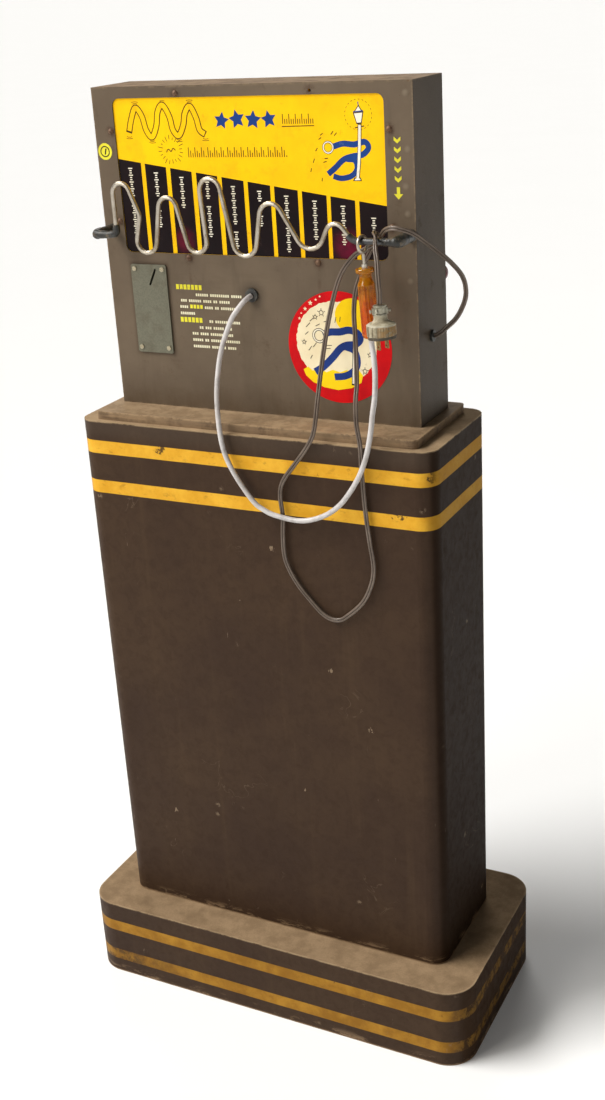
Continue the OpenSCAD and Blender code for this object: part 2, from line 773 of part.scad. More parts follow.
module cable_grommet() color("black")
    difference() {
        union() {
            ycyl(grommet_x, head_y0 - 3.5, head_y0, grommet_z, 9);
            ycyl(grommet_x, head_y0, inner_y0, grommet_z, 7);
            ycyl(grommet_x, inner_y0, inner_y0 + 2, grommet_z, 9);
        }
        ycyl(grommet_x, head_y0 - 5, inner_y0 + 4, grommet_z, probe_dia / 2);
    }

module power_grommet() color("black")
    difference() {
        union() {
            xcyl(head_x, head_x + 3.5, cord_y, cord_z, 7.5);
            xcyl(inner_x, head_x, cord_y, cord_z, 6);
            xcyl(inner_x - 2, inner_x, cord_y, cord_z, 7.5);
        }
        xcyl(inner_x - 4, head_x + 5, cord_y, cord_z, power_dia / 2);
    }

module game_rod() color("silver")
    tube(rod_path, rod_dia, 12, [1, 0, 0]);

module rod_insulators() color("black") {
    difference() {
        left_end(insul_dia / 2, head_y0, left_z + elbow_r + 4);
        left_end(rod_r, head_y0 + 1, left_z + elbow_r + 5);
    }
    difference() {
        right_end(insul_dia / 2, insul_from_x, head_y0);
        right_end(rod_r, insul_from_x - 1, head_y0 + 1);
    }
}

module start_sleeve() color("dimgray")
    difference() {
        union() {
            last_bend(sleeve_dia / 2, -dir_in(n_bends - 1));
            xcyl(bends[n_bends - 1][0], insul_from_x, rod_y, sleeve_z, sleeve_dia / 2, 32);
        }
        last_bend(rod_r, 5 - dir_in(n_bends - 1));
        xcyl(bends[n_bends - 1][0], insul_from_x + 1, rod_y, sleeve_z, rod_r, 32);
    }

// ---------- head, rear door and lock ----------

module head_rear_door() color("rosybrown")
    difference() {
        span([-head_x + 0.3, back_y0, head_z0 + 1], [head_x - 0.3, back_y1, head_z1 - 0.5]);
        ycyl(knob_x, back_y0 - 1, back_y1 + 1, knob_z, 2.55);
        for (i = [-3:3])
            translate([i * 22, back_y0, 1300])
                cube([12, 10, 3], center = true);
    }

module head_lock_knob() color("darkred")
    difference() {
        union() {
            ycyl(knob_x, back_y1 + 0.3, back_y1 + 2.5, knob_z, 11);
            ycyl(knob_x, back_y1 + 2.5, back_y1 + 8.5, knob_z, 12);
        }
        ycyl(knob_x, back_y1 - 1, back_y1 + 5, knob_z, 2.5, 48);
    }

module head_lock_cam() color("silver") {
    ycyl(knob_x, cam_y1 - 0.5, back_y1 + 5, knob_z, 2.5, 48);
    span([knob_x - 3.2, cam_y1 - cam_t, knob_z - 8.4], [knob_x + 3.2, cam_y1, knob_z + 3.2]);
}

// ---------- inside the head ----------

module lamp_bracket() color("silver")
    difference() {
        union() {
            span([-inner_x, bracket_y, lamp_z - 12], [inner_x, bracket_y + 1.5, lamp_z + 12]);
            span([-inner_x, bracket_y, lamp_z - 12], [inner_x, bracket_y + 12, lamp_z - 10.5]);
        }
        for (x = lamp_x)
            ycyl(x, bracket_y - 1, bracket_y + 3, lamp_z, 6);
    }

module lamp_sockets() color("tan")
    for (x = lamp_x)
        difference() {
            union() {
                ycyl(x, bracket_y - 16, bracket_y, lamp_z, 8.5);
                ycyl(x, bracket_y, bracket_y + 8, lamp_z, 6);
            }
            ycyl(x, bracket_y - 17, bracket_y - 4, lamp_z, 5);
        }

module lamp_bulbs() color("lightyellow")
    for (x = lamp_x) {
        ycyl(x, bracket_y - 18, bracket_y - 4, lamp_z, 5);
        translate([x, bracket_y - 24, lamp_z])
            sphere(r = 8, $fn = 48);
    }

module component_board() color("sienna")
    difference() {
        span([board_x0, board_y0, board_z0], [board_x1, board_y1, board_z1]);
        ycyl(gong_x, board_y0 - 1, board_y1 + 1, gong_z, 2);
    }

module board_spacers() color("silver")
    for (x = [board_x0 + 8, board_x1 - 8], z = [board_z0 + 8, board_z1 - 8])
        ycyl(x, inner_y0, board_y0, z, 4);

module transformer() color("dimgray") {
    span([40, board_y1, 946], [90, board_y1 + 6, 996]);
    span([44, board_y1 + 6, 948], [86, board_y1 + 28, 994]);
    span([52, board_y1 + 28, 955], [78, board_y1 + 38, 987]);
}

module terminal_strip() color("sienna") {
    span([30, board_y1, 1040], [98, board_y1 + 8, 1054]);
    for (i = [0:5])
        ycyl(36.5 + 11 * i, board_y1 + 8, board_y1 + 10, 1047, 3, 24);
}

module bell_gong() color("silver") {
    difference() {
        intersection() {
            translate([gong_x, -29, gong_z])
                sphere(r = 26, $fn = 96);
            ycyl(gong_x, -20, 0, gong_z, gong_r, 96);
        }
        translate([gong_x, -30.5, gong_z])
            sphere(r = 25.6, $fn = 96);
    }
    ycyl(gong_x, board_y0, -4, gong_z, 2, 32);
}

// Coil, core and the post that carries the striker.
module bell_unit() color("peru") {
    span([100, board_y1, 1000], [132, board_y1 + 2, 1050]);
    ycyl(striker_x, board_y1 + 2, striker_y + 6, striker_z, 1.5, 32);
    xcyl(103, 129, board_y1 + 12, 1014, 9);
}

module bell_striker() color("silver")
    difference() {
        union() {
            ycyl(striker_x, striker_y - 3, striker_y + 3, striker_z, 3.5, 32);
            translate([striker_x, striker_y, striker_z])
                rotate([0, atan2(ball_x - striker_x, ball_z - striker_z), 0])
                    cylinder(h = norm([ball_x - striker_x, ball_z - striker_z]), r = 1.2, $fn = 24);
            translate([ball_x, striker_y, ball_z])
                sphere(r = 4, $fn = 40);
        }
        ycyl(striker_x, striker_y - 4, striker_y + 4, striker_z, 1.55, 32);
    }

// ---------- wand ----------

// Places a piece on the wand: z = 0 at the ring's centre, leaning to +X below.
module on_wand()
    translate([wand_x, rod_y, ring_z])
        rotate([0, -wand_lean, 0])
            children();

module wand_ring() color("silver")
    on_wand() {
        rotate([0, 90, -ring_turn])
            rotate_extrude($fn = 96)
                translate([ring_r, 0])
                    circle(r = ring_wire, $fn = 32);
        zcyl(0, 0, -27, -ring_r, neck_r, 32);
    }

module wand_ferrule() color("silver")
    on_wand()
        difference() {
            zcyl(0, 0, -29, -24, 3.6);
            zcyl(0, 0, -30, -23, neck_r, 32);
        }

module wand_handle() color("orange")
    on_wand()
        difference() {
            rotate_extrude($fn = 96)
                polygon([[0, -29], [10.8, -29], [11.6, -30], [11.6, -33], [10.6, -34.5],
                    [7.4, -36.5], [7.4, -40], [8.4, -43.5], [grip_r, -49], [grip_r, -111],
                    [grip_r - 1.5, -114.5], [grip_r - 4, -grip_end], [0, -grip_end]]);
            for (a = [0:45:359])
                rotate([0, 0, a + 22.5])
                    zcyl(grip_r + 1.0, 0, -109, -50, 2.4, 32);
        }

module probe_cable() color("white")
    tube(probe_route, probe_dia, 10, [1, 0, 0]);

module power_cord() color("saddlebrown")
    tube(power_route, power_dia, 8, [0, 1, 0]);

// ---------- plug ----------

module on_plug()
    translate(plug_top)
        rotate([0, -plug_lean, 0])
            rotate([0, 0, plug_turn])
                children();

module plug_body() color("gray")
    on_plug() {
        zcyl(0, 0, -18, -12, 9);
        translate([0, 0, -37])
            rotate_extrude($fn = 96)
                polygon([[0, 0], [17, 0], [18.5, 2], [18.5, 12], [15, 17], [9, 19], [0, 19]]);
    }

module plug_clamp() color("silver")
    on_plug() {
        translate([0, 0, -6])
            cube([16, 12, 12], center = true);
        for (s = [-1, 1]) {
            translate([s * 10.5, 0, -8])
                cube([5, 8, 5], center = true);
            ycyl(s * 10.5, -6.2, -4, -8, 2.6, 32);
        }
    }

module plug_face() color("tan")
    on_plug()
        difference() {
            zcyl(0, 0, -40.5, -37, 17.2);
            for (s = [-1, 1])
                translate([s * 6.35, 0, -39])
                    cube([1.6, 6.4, 6], center = true);
        }

module plug_prongs() color("gold")
    on_plug()
        for (s = [-1, 1])
            difference() {
                translate([s * 6.35, 0, -45.5])
                    cube([1.6, 6.4, 17], center = true);
                xcyl(s * 6.35 - 2, s * 6.35 + 2, 0, -50, 1.6, 24);
            }

plinth_top_board();
plinth_long_rails();
plinth_end_rails();
plinth_corner_blocks();
pedestal_front_panel();
pedestal_side_panels();
pedestal_corner_posts();
pedestal_rear_frame();
pedestal_cap();
pedestal_shelf();
pedestal_rear_door();
pedestal_door_leaves();
pedestal_lock_body();
pedestal_lock_cam();
cash_box();
step_board();
head_bolts();
head_shell();
front_panel();
art_panel();
art_screws();
panel_nuts();
front_decals();
round_emblem();
coin_plate();
coin_plate_screws();
coin_chute();
coin_switch();
coin_lever();
cable_grommet();
power_grommet();
game_rod();
rod_insulators();
start_sleeve();
head_rear_door();
hinge_fixed_leaves();
hinge_pins();
head_door_leaves();
head_lock_knob();
head_lock_cam();
lamp_bracket();
lamp_sockets();
lamp_bulbs();
component_board();
board_spacers();
transformer();
terminal_strip();
bell_gong();
bell_unit();
bell_striker();
wand_ring();
wand_ferrule();
wand_handle();
probe_cable();
power_cord();
plug_body();
plug_clamp();
plug_face();
plug_prongs();
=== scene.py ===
"""Coin-operated steady-hand tester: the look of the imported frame. Metres, +X viewer's right, +Y rear, +Z up."""

from math import acos, cos, exp, hypot, pi, radians, sin, tan

import bmesh
import bpy
from mathutils import Matrix, Vector


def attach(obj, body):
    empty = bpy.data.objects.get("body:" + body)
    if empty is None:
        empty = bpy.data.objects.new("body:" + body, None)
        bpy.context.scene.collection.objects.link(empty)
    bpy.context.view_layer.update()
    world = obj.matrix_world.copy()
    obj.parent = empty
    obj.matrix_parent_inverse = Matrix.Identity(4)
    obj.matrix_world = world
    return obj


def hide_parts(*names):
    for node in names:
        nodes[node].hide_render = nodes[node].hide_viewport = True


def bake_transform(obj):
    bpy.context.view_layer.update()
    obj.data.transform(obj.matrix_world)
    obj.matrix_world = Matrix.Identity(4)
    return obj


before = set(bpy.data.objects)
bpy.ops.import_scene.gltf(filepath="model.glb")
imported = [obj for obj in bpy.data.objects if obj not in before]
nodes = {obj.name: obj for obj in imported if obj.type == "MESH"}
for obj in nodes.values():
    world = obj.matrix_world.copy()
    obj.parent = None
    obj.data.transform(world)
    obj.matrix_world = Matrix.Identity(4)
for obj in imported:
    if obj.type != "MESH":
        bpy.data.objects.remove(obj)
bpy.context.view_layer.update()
scene = bpy.context.scene
scene.view_settings.view_transform = "Standard"


def make_camera():
    """The photo's view: seen from the front right, a little above."""
    yaw, pitch, roll = radians(27.872), radians(22.066), radians(-3.525)
    forward = Vector((-sin(yaw) * cos(pitch), cos(yaw) * cos(pitch), -sin(pitch)))
    right = Vector((cos(yaw), sin(yaw), 0))
    up = right.cross(forward)
    side = right * cos(roll) + up * sin(roll)
    top = up * cos(roll) - right * sin(roll)
    data = bpy.data.cameras.new("camera")
    data.lens = 46.15
    data.sensor_width = 36
    data.clip_end = 4000
    camera = bpy.data.objects.new("camera", data)
    turn = Matrix((side, top, -forward)).transposed().to_4x4()
    camera.matrix_world = Matrix.Translation((0.8983, -1.6525, 1.4723)) @ turn
    scene.collection.objects.link(camera)
    scene.camera = camera


make_camera()

# ---------------------------------------------------------------- meshes


def smooth_path(points, steps):
    """Points in metres on a smooth curve through points given in millimetres."""
    p = [Vector(q) / 1000 for q in points]
    p = [p[0] * 2 - p[1]] + p + [p[-1] * 2 - p[-2]]
    out = []
    for a, b, c, d in zip(p, p[1:], p[2:], p[3:]):
        for t in (k / steps for k in range(steps)):
            bend = (2 * a - 5 * b + 4 * c - d) * t * t
            out.append(0.5 * (2 * b + (c - a) * t + bend + (3 * b - a - 3 * c + d) * t**3))
    out.append(p[-2])
    return out


def tangents(path):
    n = len(path)
    return [(path[min(i + 1, n - 1)] - path[max(i - 1, 0)]).normalized() for i in range(n)]


def circle(count, radius, turn=0.0):
    """Points evenly round a circle, from turn radians on."""
    angles = (2 * pi * k / count + turn for k in range(count))
    return [(radius * cos(a), radius * sin(a)) for a in angles]


def tube_faces(rings, count, caps=True):
    """Quads between rings of count points, and a face over each end."""
    faces = []
    for i in range(rings - 1):
        for k in range(count):
            a, b = i * count + k, i * count + (k + 1) % count
            faces.append((a, b, b + count, a + count))
    if caps:
        faces += [tuple(range(count)), tuple(range((rings - 1) * count, rings * count))]
    return faces


def new_object(name, verts, faces, smooth=True, sharp=None):
    """A mesh object; sharp is the angle in degrees above which its edges stay hard."""
    mesh = bpy.data.meshes.new(name)
    mesh.from_pydata([tuple(v) for v in verts], [], faces)
    mesh.validate()
    bm = bmesh.new()
    bm.from_mesh(mesh)
    bmesh.ops.recalc_face_normals(bm, faces=bm.faces)
    bm.to_mesh(mesh)
    bm.free()
    if smooth:
        mesh.shade_smooth()
    if sharp:
        mesh.set_sharp_from_angle(angle=radians(sharp))
    obj = bpy.data.objects.new(name, mesh)
    scene.collection.objects.link(obj)
    return obj


# ---------------------------------------------------------------- cords


def sweep(name, path, section):
    """A closed tube whose section is a list of (across, towards the rear) offsets."""
    rear = Vector((0, 1, 0))
    verts, thin = [], rear
    for p, t in zip(path, tangents(path)):
        thin = (thin - t * thin.dot(t)).normalized()
        across = t.cross(thin)
        verts += [p + across * a + thin * b for a, b in section]
        thin = thin * 0.6 + rear * 0.4 if abs(t.dot(rear)) < 0.9 else thin
    return new_object(name, verts, tube_faces(len(path), len(section)))


def twin_flex(radius, spread):
    """Figure-of-eight outline of two cores side by side."""
    count = 9
    waist = acos(spread / radius) * 0.72
    out = []
    for side, start in ((spread, waist - pi), (-spread, waist)):
        for k in range(count):
            a = start + (2 * pi - 2 * waist) * k / (count - 1)
            out.append((side + radius * cos(a), radius * sin(a)))
    return out


PROBE = [
    (-7, -41, 1088.5), (-11, -52, 1084), (-20, -59, 1072), (-28, -64, 1058), (-40, -72, 1023),
    (-43, -82, 991), (-40, -95, 960), (-32, -108, 921), (-25, -111, 890), (-10, -112, 860),
    (14, -113, 828), (30, -113, 817), (48, -113, 811), (84, -113, 808), (117, -113, 818),
    (144, -113, 838), (167, -113, 870), (181, -113, 900), (188, -110, 931), (191, -105, 962),
    (192, -99, 982), (190, -91, 1008), (186, -84.5, 1030), (183.4, -82.5, 1042), (182.7, -82.5, 1051.8),
]
POWER = [
    (232, 5, 1037), (240, 5, 1041), (248, 5, 1048), (263, 3, 1062), (275, -1, 1082), (280, -6, 1100),
    (279, -16, 1120), (270, -32, 1140), (258, -50, 1158), (247, -68, 1174), (239, -79, 1183),
    (228, -86, 1188), (217.5, -86.5, 1189), (207.5, -82.5, 1186), (199.5, -76, 1179.5), (188, -66, 1167),
    (171, -64, 1158.5), (153, -62, 1148), (133, -60, 1123), (118, -62, 1078), (110, -72, 1026),
    (109, -94, 970), (107, -105, 932), (96, -106, 909), (77, -106, 884), (58, -106, 859), (52, -106, 838),
    (54, -106, 808), (52, -106, 777), (54, -106, 744), (70, -106, 712), (96, -106, 682), (107, -106, 672),
    (118, -106, 667), (129, -106, 667), (140, -106, 673), (165, -106, 697), (179, -106, 724),
    (184, -106, 751), (180, -106, 787), (176, -106, 825), (173, -106, 877), (172, -106, 918),
    (167, -104, 947), (164, -96, 975), (162, -86, 996), (156, -72, 1047), (152, -64, 1080),
    (154, -60, 1106), (160, -56, 1126), (168, -53, 1146), (179, -54, 1163), (187, -62, 1174),
    (190, -72, 1181), (193, -83.5, 1182), (197.5, -93, 1177.5), (202, -103, 1166), (207.5, -112, 1153),
    (211, -119, 1137), (214, -123, 1118), (214.7, -125, 1105),
]
PROBE_D, POWER_W = 0.007, 0.0065

probe_path = smooth_path(PROBE, 6)
probe = sweep("probe_cable_white", probe_path, circle(16, PROBE_D / 2))
power_path = smooth_path(POWER, 5)
power = sweep("power_cord_brown", power_path, twin_flex(0.0017, 0.00155))
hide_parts("probe_cable")
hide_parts("power_cord")
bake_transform(probe)
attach(power, "cabinet")

# ---------------------------------------------------------------- finishes


def rgb(*screen):
    """Linear colour from 0-255 screen values."""
    values = [v / 255 for v in screen]
    return (*[v / 12.92 if v <= 0.04045 else ((v + 0.055) / 1.055) ** 2.4 for v in values], 1.0)


class Finish:
    """The node tree of one material, in object coordinates, which are the frame's metres."""

    INPUTS = {
        "rough": "Roughness", "metal": "Metallic", "ior": "IOR", "coat": "Coat Weight",
        "through": "Transmission Weight", "specular": "Specular IOR Level", "normal": "Normal",
    }

    def __init__(self, name):
        self.mat = bpy.data.materials.new(name)
        self.mat.use_nodes = True
        self.tree = self.mat.node_tree
        self.tree.nodes.clear()
        out = self.tree.nodes.new("ShaderNodeOutputMaterial")
        self.shader = self.tree.nodes.new("ShaderNodeBsdfPrincipled")
        self.tree.links.new(self.shader.outputs[0], out.inputs[0])
        coord = self.tree.nodes.new("ShaderNodeTexCoord")
        self.at = coord.outputs["Object"]
        self.x, self.y, self.z = self.split(self.at)
        self.normal = self.split(coord.outputs["Normal"])
        self.base = None

    def split(self, vector):
        node = self.tree.nodes.new("ShaderNodeSeparateXYZ")
        self.tree.links.new(vector, node.inputs[0])
        return list(node.outputs)

    def put(self, socket, value):
        """Links an output, or sets a number, a vector or a colour of 0-255 screen values."""
        if isinstance(value, bpy.types.NodeSocket):
            self.tree.links.new(value, socket)
        else:
            socket.default_value = rgb(*value) if socket.type == "RGBA" else value

    def make(self, kind, inputs, out=0, **settings):
        """A new node's output."""
        node = self.tree.nodes.new("ShaderNode" + kind)
        for key, value in settings.items():
            setattr(node, key, value)
        for key, value in inputs.items():
            self.put(node.inputs[key], value)
        return node.outputs[out]

    def set(self, **values):
        """Sets the shader: the colour built so far and these values."""
        self.put(self.shader.inputs["Base Color"], self.base)
        for key, value in values.items():
            self.put(self.shader.inputs[self.INPUTS[key]], value)
        return self

    def math(self, op, a, b=0.0):
        return self.make("Math", {0: a, 1: b}, operation=op)

    def add(self, a, b):
        return self.math("ADD", a, b)

    def sub(self, a, b):
        return self.math("SUBTRACT", a, b)

    def mul(self, a, b):
        return self.math("MULTIPLY", a, b)

    def high(self, a, b):
        return self.math("MAXIMUM", a, b)

    def inv(self, a):
        return self.sub(1.0, a)

    def size(self, a):
        return self.math("ABSOLUTE", a)

    def remap(self, value, a, b, lo=0.0, hi=1.0):
        """lo to hi as the value goes from a to b, eased at both ends."""
        inputs = dict(enumerate((value, a, b, lo, hi)))
        return self.make("MapRange", inputs, interpolation_type="SMOOTHSTEP")

    def scaled(self, stretch, shift):
        return self.make("Mapping", {0: self.at, 1: shift, 3: stretch})

    def noise(self, scale, detail, rough, stretch=(1, 1, 1), shift=(0, 0, 0), twist=0.0):
        inputs = {"Scale": scale, "Detail": detail, "Roughness": rough, "Distortion": twist}
        return self.make("TexNoise", {"Vector": self.scaled(stretch, shift), **inputs})

    def patch(self, a, b, *noise, **more):
        """0 to 1 as a noise goes from a to b."""
        return self.remap(self.noise(*noise, **more), a, b)

    def dots(self, size, scale, shift=(0, 0, 0)):
        """1 in small spots scattered over the surface."""
        cells = self.make("TexVoronoi", {"Vector": self.scaled((1, 1, 1), shift), "Scale": scale})
        return self.remap(cells, 0.0, size, 1.0, 0.0)

    def mix(self, factor, a, b):
        return self.make("Mix", {0: factor, 6: a, 7: b}, out=2, data_type="RGBA")

    def shade(self, color, factor):
        """color times a number."""
        return self.make("VectorMath", {0: color, "Scale": factor}, operation="SCALE")

    def over(self, color, factor, amount=None):
        """Lays a colour over the base, as strongly as factor times amount."""
        self.base = self.mix(factor if amount is None else self.mul(factor, amount), self.base, color)

    def bump(self, height, depth, strength=1.0):
        """height runs 0 to 1 and depth is its size in metres."""
        return self.make("Bump", {"Strength": strength, "Distance": depth, "Height": height})

    def up(self):
        """1 where the surface faces up."""
        return self.remap(self.normal[2], 0.55, 0.9)

    def spot(self, x, z, radius, soft):
        """1 within radius of a point on the front, fading outwards."""
        dx, dz = self.sub(self.x, x), self.sub(self.z, z)
        d = self.math("SQRT", self.add(self.mul(dx, dx), self.mul(dz, dz)))
        return self.remap(d, radius * (1 - soft), radius * (1 + soft), 1.0, 0.0)

    def band(self, value, lo, hi, soft):
        """1 between lo and hi."""
        return self.mul(self.remap(value, lo - soft, lo + soft), self.remap(value, hi - soft, hi + soft, 1.0, 0.0))

    def rounded(self, half_x, half_y, radius, mid_y=0.0):
        """Distance outside a rounded rectangle in plan; below 0 inside."""
        qx = self.sub(self.size(self.x), half_x - radius)
        qy = self.sub(self.size(self.sub(self.y, mid_y)), half_y - radius)
        ox, oy = self.high(qx, 0.0), self.high(qy, 0.0)
        out = self.math("SQRT", self.add(self.mul(ox, ox), self.mul(oy, oy)))
        return self.sub(self.add(out, self.math("MINIMUM", self.high(qx, qy), 0.0)), radius)


def use(finish, *names):
    for name in names:
        nodes[name].data.materials.clear()
        nodes[name].data.materials.append(finish.mat)


DIRT = (58, 46, 34)
DUST = (150, 128, 100)
RUST = (96, 62, 42)


def plain_metal(name, color, rough, dark, amount, scale, metal=1.0, brush=(1, 1, 1), pits=0.00004):
    """Bare metal: tarnish patches, brush lines or handling marks, and small pits."""
    f = Finish(name)
    patch = f.patch(0.45, 0.75, scale, 6, 0.65)
    fine = f.noise(scale * 12, 3, 0.6, stretch=brush)
    f.base = color
    f.over(dark, patch, amount)
    f.base = f.shade(f.base, f.remap(fine, 0.3, 0.7, 0.85, 1.12))
    return f.set(
        metal=f.remap(patch, 0, 1, metal, metal * (1 - 0.6 * amount)),
        rough=f.remap(f.add(fine, f.mul(patch, 0.6)), 0.3, 1.2, rough * 0.8, rough * 1.6),
        normal=f.bump(f.add(fine, patch), pits),
    )


def plastic(name, color, rough, second, scale, coat=0.0, grain=0.00005, dust=0.25):
    """Moulded plastic, rubber or bakelite with mottling, dust in the pores and fine grain."""
    f = Finish(name)
    blotch = f.noise(scale, 5, 0.6)
    fine = f.noise(scale * 18, 3, 0.6)
    f.base = f.mix(f.remap(blotch, 0.35, 0.7), color, second)
    grime = f.mul(f.patch(0.5, 0.78, scale * 2.3, 6, 0.7, shift=(3, 1, 2)), dust)
    f.over(DUST, grime)
    return f.set(
        rough=f.remap(f.add(fine, grime), 0.3, 1.1, rough * 0.85, rough * 1.5),
        coat=coat, normal=f.bump(f.add(fine, f.mul(blotch, 0.6)), grain),
    )


# Where the front panel carries spot welds, and rust under its screws: x, z
WELDS = ((0.219, 1.339), (0.220, 1.274), (0.2165, 1.230), (0.218, 1.197), (0.219, 1.115))
RUSTY = [(x, z) for z in (1.3435, 1.1345) for x in (-0.0995, 0.0925)]
RUSTY += [(x, z) for z in (1.298, 1.181) for x in (-0.2035, 0.1965)]


def head_paint(name, panel=False):
    """Taupe enamel on sheet steel, dusty on top, rubbed and rusty at its folds."""
    f = Finish(name)
    tone = f.noise(7, 5, 0.6, shift=(0.2, 0, 0.7))
    fine = f.noise(900, 3, 0.6)
    f.base = f.mix(f.remap(tone, 0.3, 0.72), (108, 92, 74), (124, 107, 87))
    f.over((92, 78, 61), f.patch(0.5, 0.8, 9, 5, 0.62, stretch=(5, 5, 0.7), shift=(1.3, 2, 0)), 0.45)
    stain = f.mul(f.patch(0.56, 0.75, 26, 7, 0.7, shift=(4, 0, 1)), 0.5)
    f.over((88, 68, 48), stain)
    f.over(RUST, f.mul(f.dots(0.16, 140, shift=(0.1, 0.2, 0)), f.patch(0.5, 0.65, 30, 3, 0.5)), 0.75)
    f.over((168, 152, 128), f.patch(0.68, 0.74, 55, 4, 0.7, stretch=(1, 1, 9), shift=(7, 0, 0)), 0.35)
    # The last millimetres before each fold
    width = f.size(f.x)
    edge_x = f.remap(width, 0.2255, 0.2283)
    edge_y = f.remap(f.y, -0.0352, -0.0372)
    edge_z = f.high(f.remap(f.z, 1.3505, 1.3537), f.remap(f.z, 0.9285, 0.9265))
    on_front, on_side = f.remap(f.normal[1], -0.6, -0.9), f.remap(f.size(f.normal[0]), 0.6, 0.9)
    on_top = f.up()
    edge = f.high(
        f.mul(on_front, f.high(edge_x, edge_z)),
        f.high(f.mul(on_side, f.high(edge_y, edge_z)), f.mul(on_top, f.high(edge_x, edge_y))),
    )
    f.over((150, 128, 100), f.mul(edge, f.patch(0.42, 0.62, 75, 6, 0.7, shift=(2, 2, 2))), 0.8)
    f.over(RUST, f.mul(edge, f.patch(0.58, 0.7, 110, 5, 0.7)), 0.8)
    dust = f.mul(on_top, f.remap(f.noise(18, 6, 0.6), 0.15, 0.6, 0.55, 1.0))
    f.over(f.mix(f.patch(0.4, 0.7, 40, 6, 0.7, shift=(5, 0, 0)), (176, 149, 118), (132, 106, 78)), dust)
    height = f.add(f.mul(fine, 0.25), f.mul(f.noise(5, 2, 0.4), 6.0))
    if panel:
        # Painted shadow: everything behind the front face, which shows as the cut edges of the openings, is dark
        # brown, standing in for the shadow line round the art window.
        f.over((74, 48, 22), f.remap(f.y, -0.03745, -0.0371))
        # Spot welds: a raised bump each, with a lighter colour on it that is a painted highlight.
        for x, z in WELDS:
            weld = f.spot(x, z, 0.0032, 0.75)
            height = f.add(height, f.mul(weld, 2.6))
            f.over((160, 146, 124), weld, 0.35)
        for x, z in RUSTY:
            halo = f.mul(f.spot(x, z, 0.0075, 0.5), f.patch(0.35, 0.6, 120, 5, 0.7))
            f.over((82, 54, 36), halo, 0.75)
            run = f.mul(f.band(f.x, x - 0.002, x + 0.002, 0.002), f.band(f.z, z - 0.035, z, 0.004))
            f.over((90, 64, 44), f.mul(run, f.patch(0.4, 0.65, 60, 4, 0.6)), 0.5)
        # Dirt round the cable's hole and the coin plate, a wiped patch and a darker foot
        f.over((62, 50, 38), f.mul(f.spot(-0.007, 1.0887, 0.016, 0.6), 0.45))
        plate = f.mul(f.band(f.x, -0.196, -0.133, 0.004), f.band(f.z, 0.999, 1.127, 0.004))
        f.over((78, 58, 40), plate, 0.55)
        wipe = f.patch(0.45, 0.75, 14, 5, 0.7, stretch=(1, 1, 4), shift=(9, 0, 0))
        f.over((98, 84, 62), f.mul(f.band(f.x, -0.20, 0.02, 0.01), wipe), 0.25)
        foot = f.patch(0.4, 0.7, 30, 5, 0.65, stretch=(1, 1, 0.5))
        f.over((92, 72, 50), f.mul(f.remap(f.z, 0.99, 0.926), foot), 0.45)
    # Painted shade: the side faces are darkened to 0.58 of their colour, standing in for the sides turned away
    # from the light.
    f.base = f.shade(f.base, f.remap(on_side, 0, 1, 1.0, 0.58))
    if not panel:
        # Greyer on the faces inside the box
        inside = f.mul(f.remap(width, 0.2272, 0.2268), f.band(f.y, -0.0355, 0.055, 0.0004))
        inside = f.mul(inside, f.band(f.z, 0.9272, 1.3528, 0.0003))
        f.over(f.mix(f.remap(tone, 0.4, 0.7), (96, 92, 84), (120, 112, 98)), inside)
    f.base = f.shade(f.base, 0.68)
    return f.set(
        metal=0.0, specular=f.remap(on_side, 0, 1, 0.22, 0.10),
        rough=f.remap(f.add(fine, f.add(stain, f.mul(dust, 0.7))), 0.3, 1.3, 0.42, 0.85),
        normal=f.bump(height, 0.0003, 0.6),
    )


